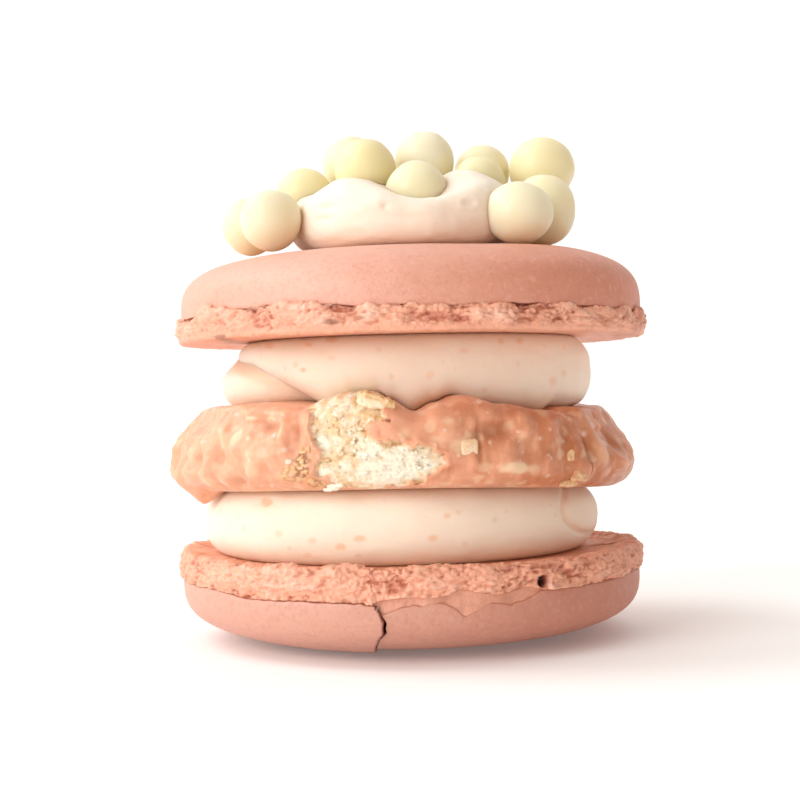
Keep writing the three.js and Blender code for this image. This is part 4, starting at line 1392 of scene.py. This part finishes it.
class MACARON_OT_creams(bpy.types.Operator):
    """Add both layers of piped cream"""
    bl_idname = "macaron.creams"
    bl_label = "Creams"

    def execute(self, context):
        finish = cream_finish(context.scene.macaron_colours)
        new_piece("lower_piped_cream", [lower_cream()], finish, ["cream_lower"])
        new_piece("upper_cream_rope", [upper_rope()], finish, ["cream_upper"])
        new_piece("upper_cream_lobe", [upper_lobe()], finish, ["cream_upper"])
        return {"FINISHED"}


class MACARON_OT_biscuit(bpy.types.Operator):
    """Add the glazed biscuit"""
    bl_idname = "macaron.biscuit"
    bl_label = "Biscuit"

    def execute(self, context):
        sizes, colours = context.scene.macaron_sizes, context.scene.macaron_colours
        finish = biscuit_finish(colours)
        new_piece("glazed_sandwich_biscuit", [biscuit(sizes)], finish, ["biscuit"])
        new_piece("biscuit_bits", biscuit_bits(), bits_finish(colours))
        return {"FINISHED"}


class MACARON_OT_dollop(bpy.types.Operator):
    """Add the dollop of cream under the pearls"""
    bl_idname = "macaron.dollop"
    bl_label = "Dollop"

    def execute(self, context):
        finish = topping_finish(context.scene.macaron_colours)
        new_piece("topping_dollop", [dollop(pearl_places())], finish, ["cream_dollop"])
        return {"FINISHED"}


class MACARON_OT_pearls(bpy.types.Operator):
    """Add the crisp chocolate pearls"""
    bl_idname = "macaron.pearls"
    bl_label = "Pearls"

    def execute(self, context):
        finish = pearl_finish(context.scene.macaron_colours)
        for number, (*middle, wide, tall) in enumerate(pearl_places(), start=1):
            points = ball(middle, (wide / 2, wide / 2, tall / 2), number, 0.03, number,
                          rows=40, columns=64)
            marks = {"tint": np.full(points.shape[:2], PEARL_TINTS.get(number, 0.4))}
            node = f"pearl_{number:02d}"
            new_piece(f"crisp_{node}", [(points, marks)], finish, [node])
        return {"FINISHED"}


class MACARON_OT_stage(bpy.types.Operator):
    """Add the table, the light and the camera"""
    bl_idname = "macaron.stage"
    bl_label = "Table, light and camera"

    def execute(self, context):
        scene, stage = context.scene, context.scene.macaron_stage
        scene.view_settings.view_transform = "Standard"
        add_sky(scene, stage)
        add_table(scene, stage)
        add_lamp(scene, "key", stage.key, stage.key_from, stage.key_height, 40)
        add_lamp(scene, "sheen", stage.sheen, stage.sheen_from, stage.sheen_height, 30)
        add_camera(scene)
        return {"FINISHED"}


class MACARON_PT_panel(bpy.types.Panel):
    """Lists what can be changed, and the buttons that add the pieces"""
    bl_idname = "MACARON_PT_panel"
    bl_label = "Macaron"
    bl_space_type = "VIEW_3D"
    bl_region_type = "UI"
    bl_category = "Macaron"

    def draw(self, context):
        for name in GROUPS:
            group = getattr(context.scene, name)
            box = self.layout.box()
            for key in group.__annotations__:
                box.prop(group, key)
        for operator in OPERATORS:
            self.layout.operator(operator.bl_idname)


GROUPS = {"macaron_sizes": MacaronSizes, "macaron_colours": MacaronColours,
          "macaron_stage": MacaronStage}
OPERATORS = (MACARON_OT_shells, MACARON_OT_creams, MACARON_OT_biscuit, MACARON_OT_dollop,
             MACARON_OT_pearls, MACARON_OT_stage)


def register():
    for key, group in GROUPS.items():
        bpy.utils.register_class(group)
        setattr(bpy.types.Scene, key, PointerProperty(type=group))
    for made in (*OPERATORS, MACARON_PT_panel):
        bpy.utils.register_class(made)


def unregister():
    for made in (MACARON_PT_panel, *reversed(OPERATORS)):
        bpy.utils.unregister_class(made)
    for key, group in reversed(GROUPS.items()):
        delattr(bpy.types.Scene, key)
        bpy.utils.unregister_class(group)


def main():
    register()
    bpy.ops.macaron.shells()
    bpy.ops.macaron.creams()
    bpy.ops.macaron.biscuit()
    bpy.ops.macaron.dollop()
    bpy.ops.macaron.pearls()
    bpy.ops.macaron.stage()


if __name__ == "__main__":
    main()
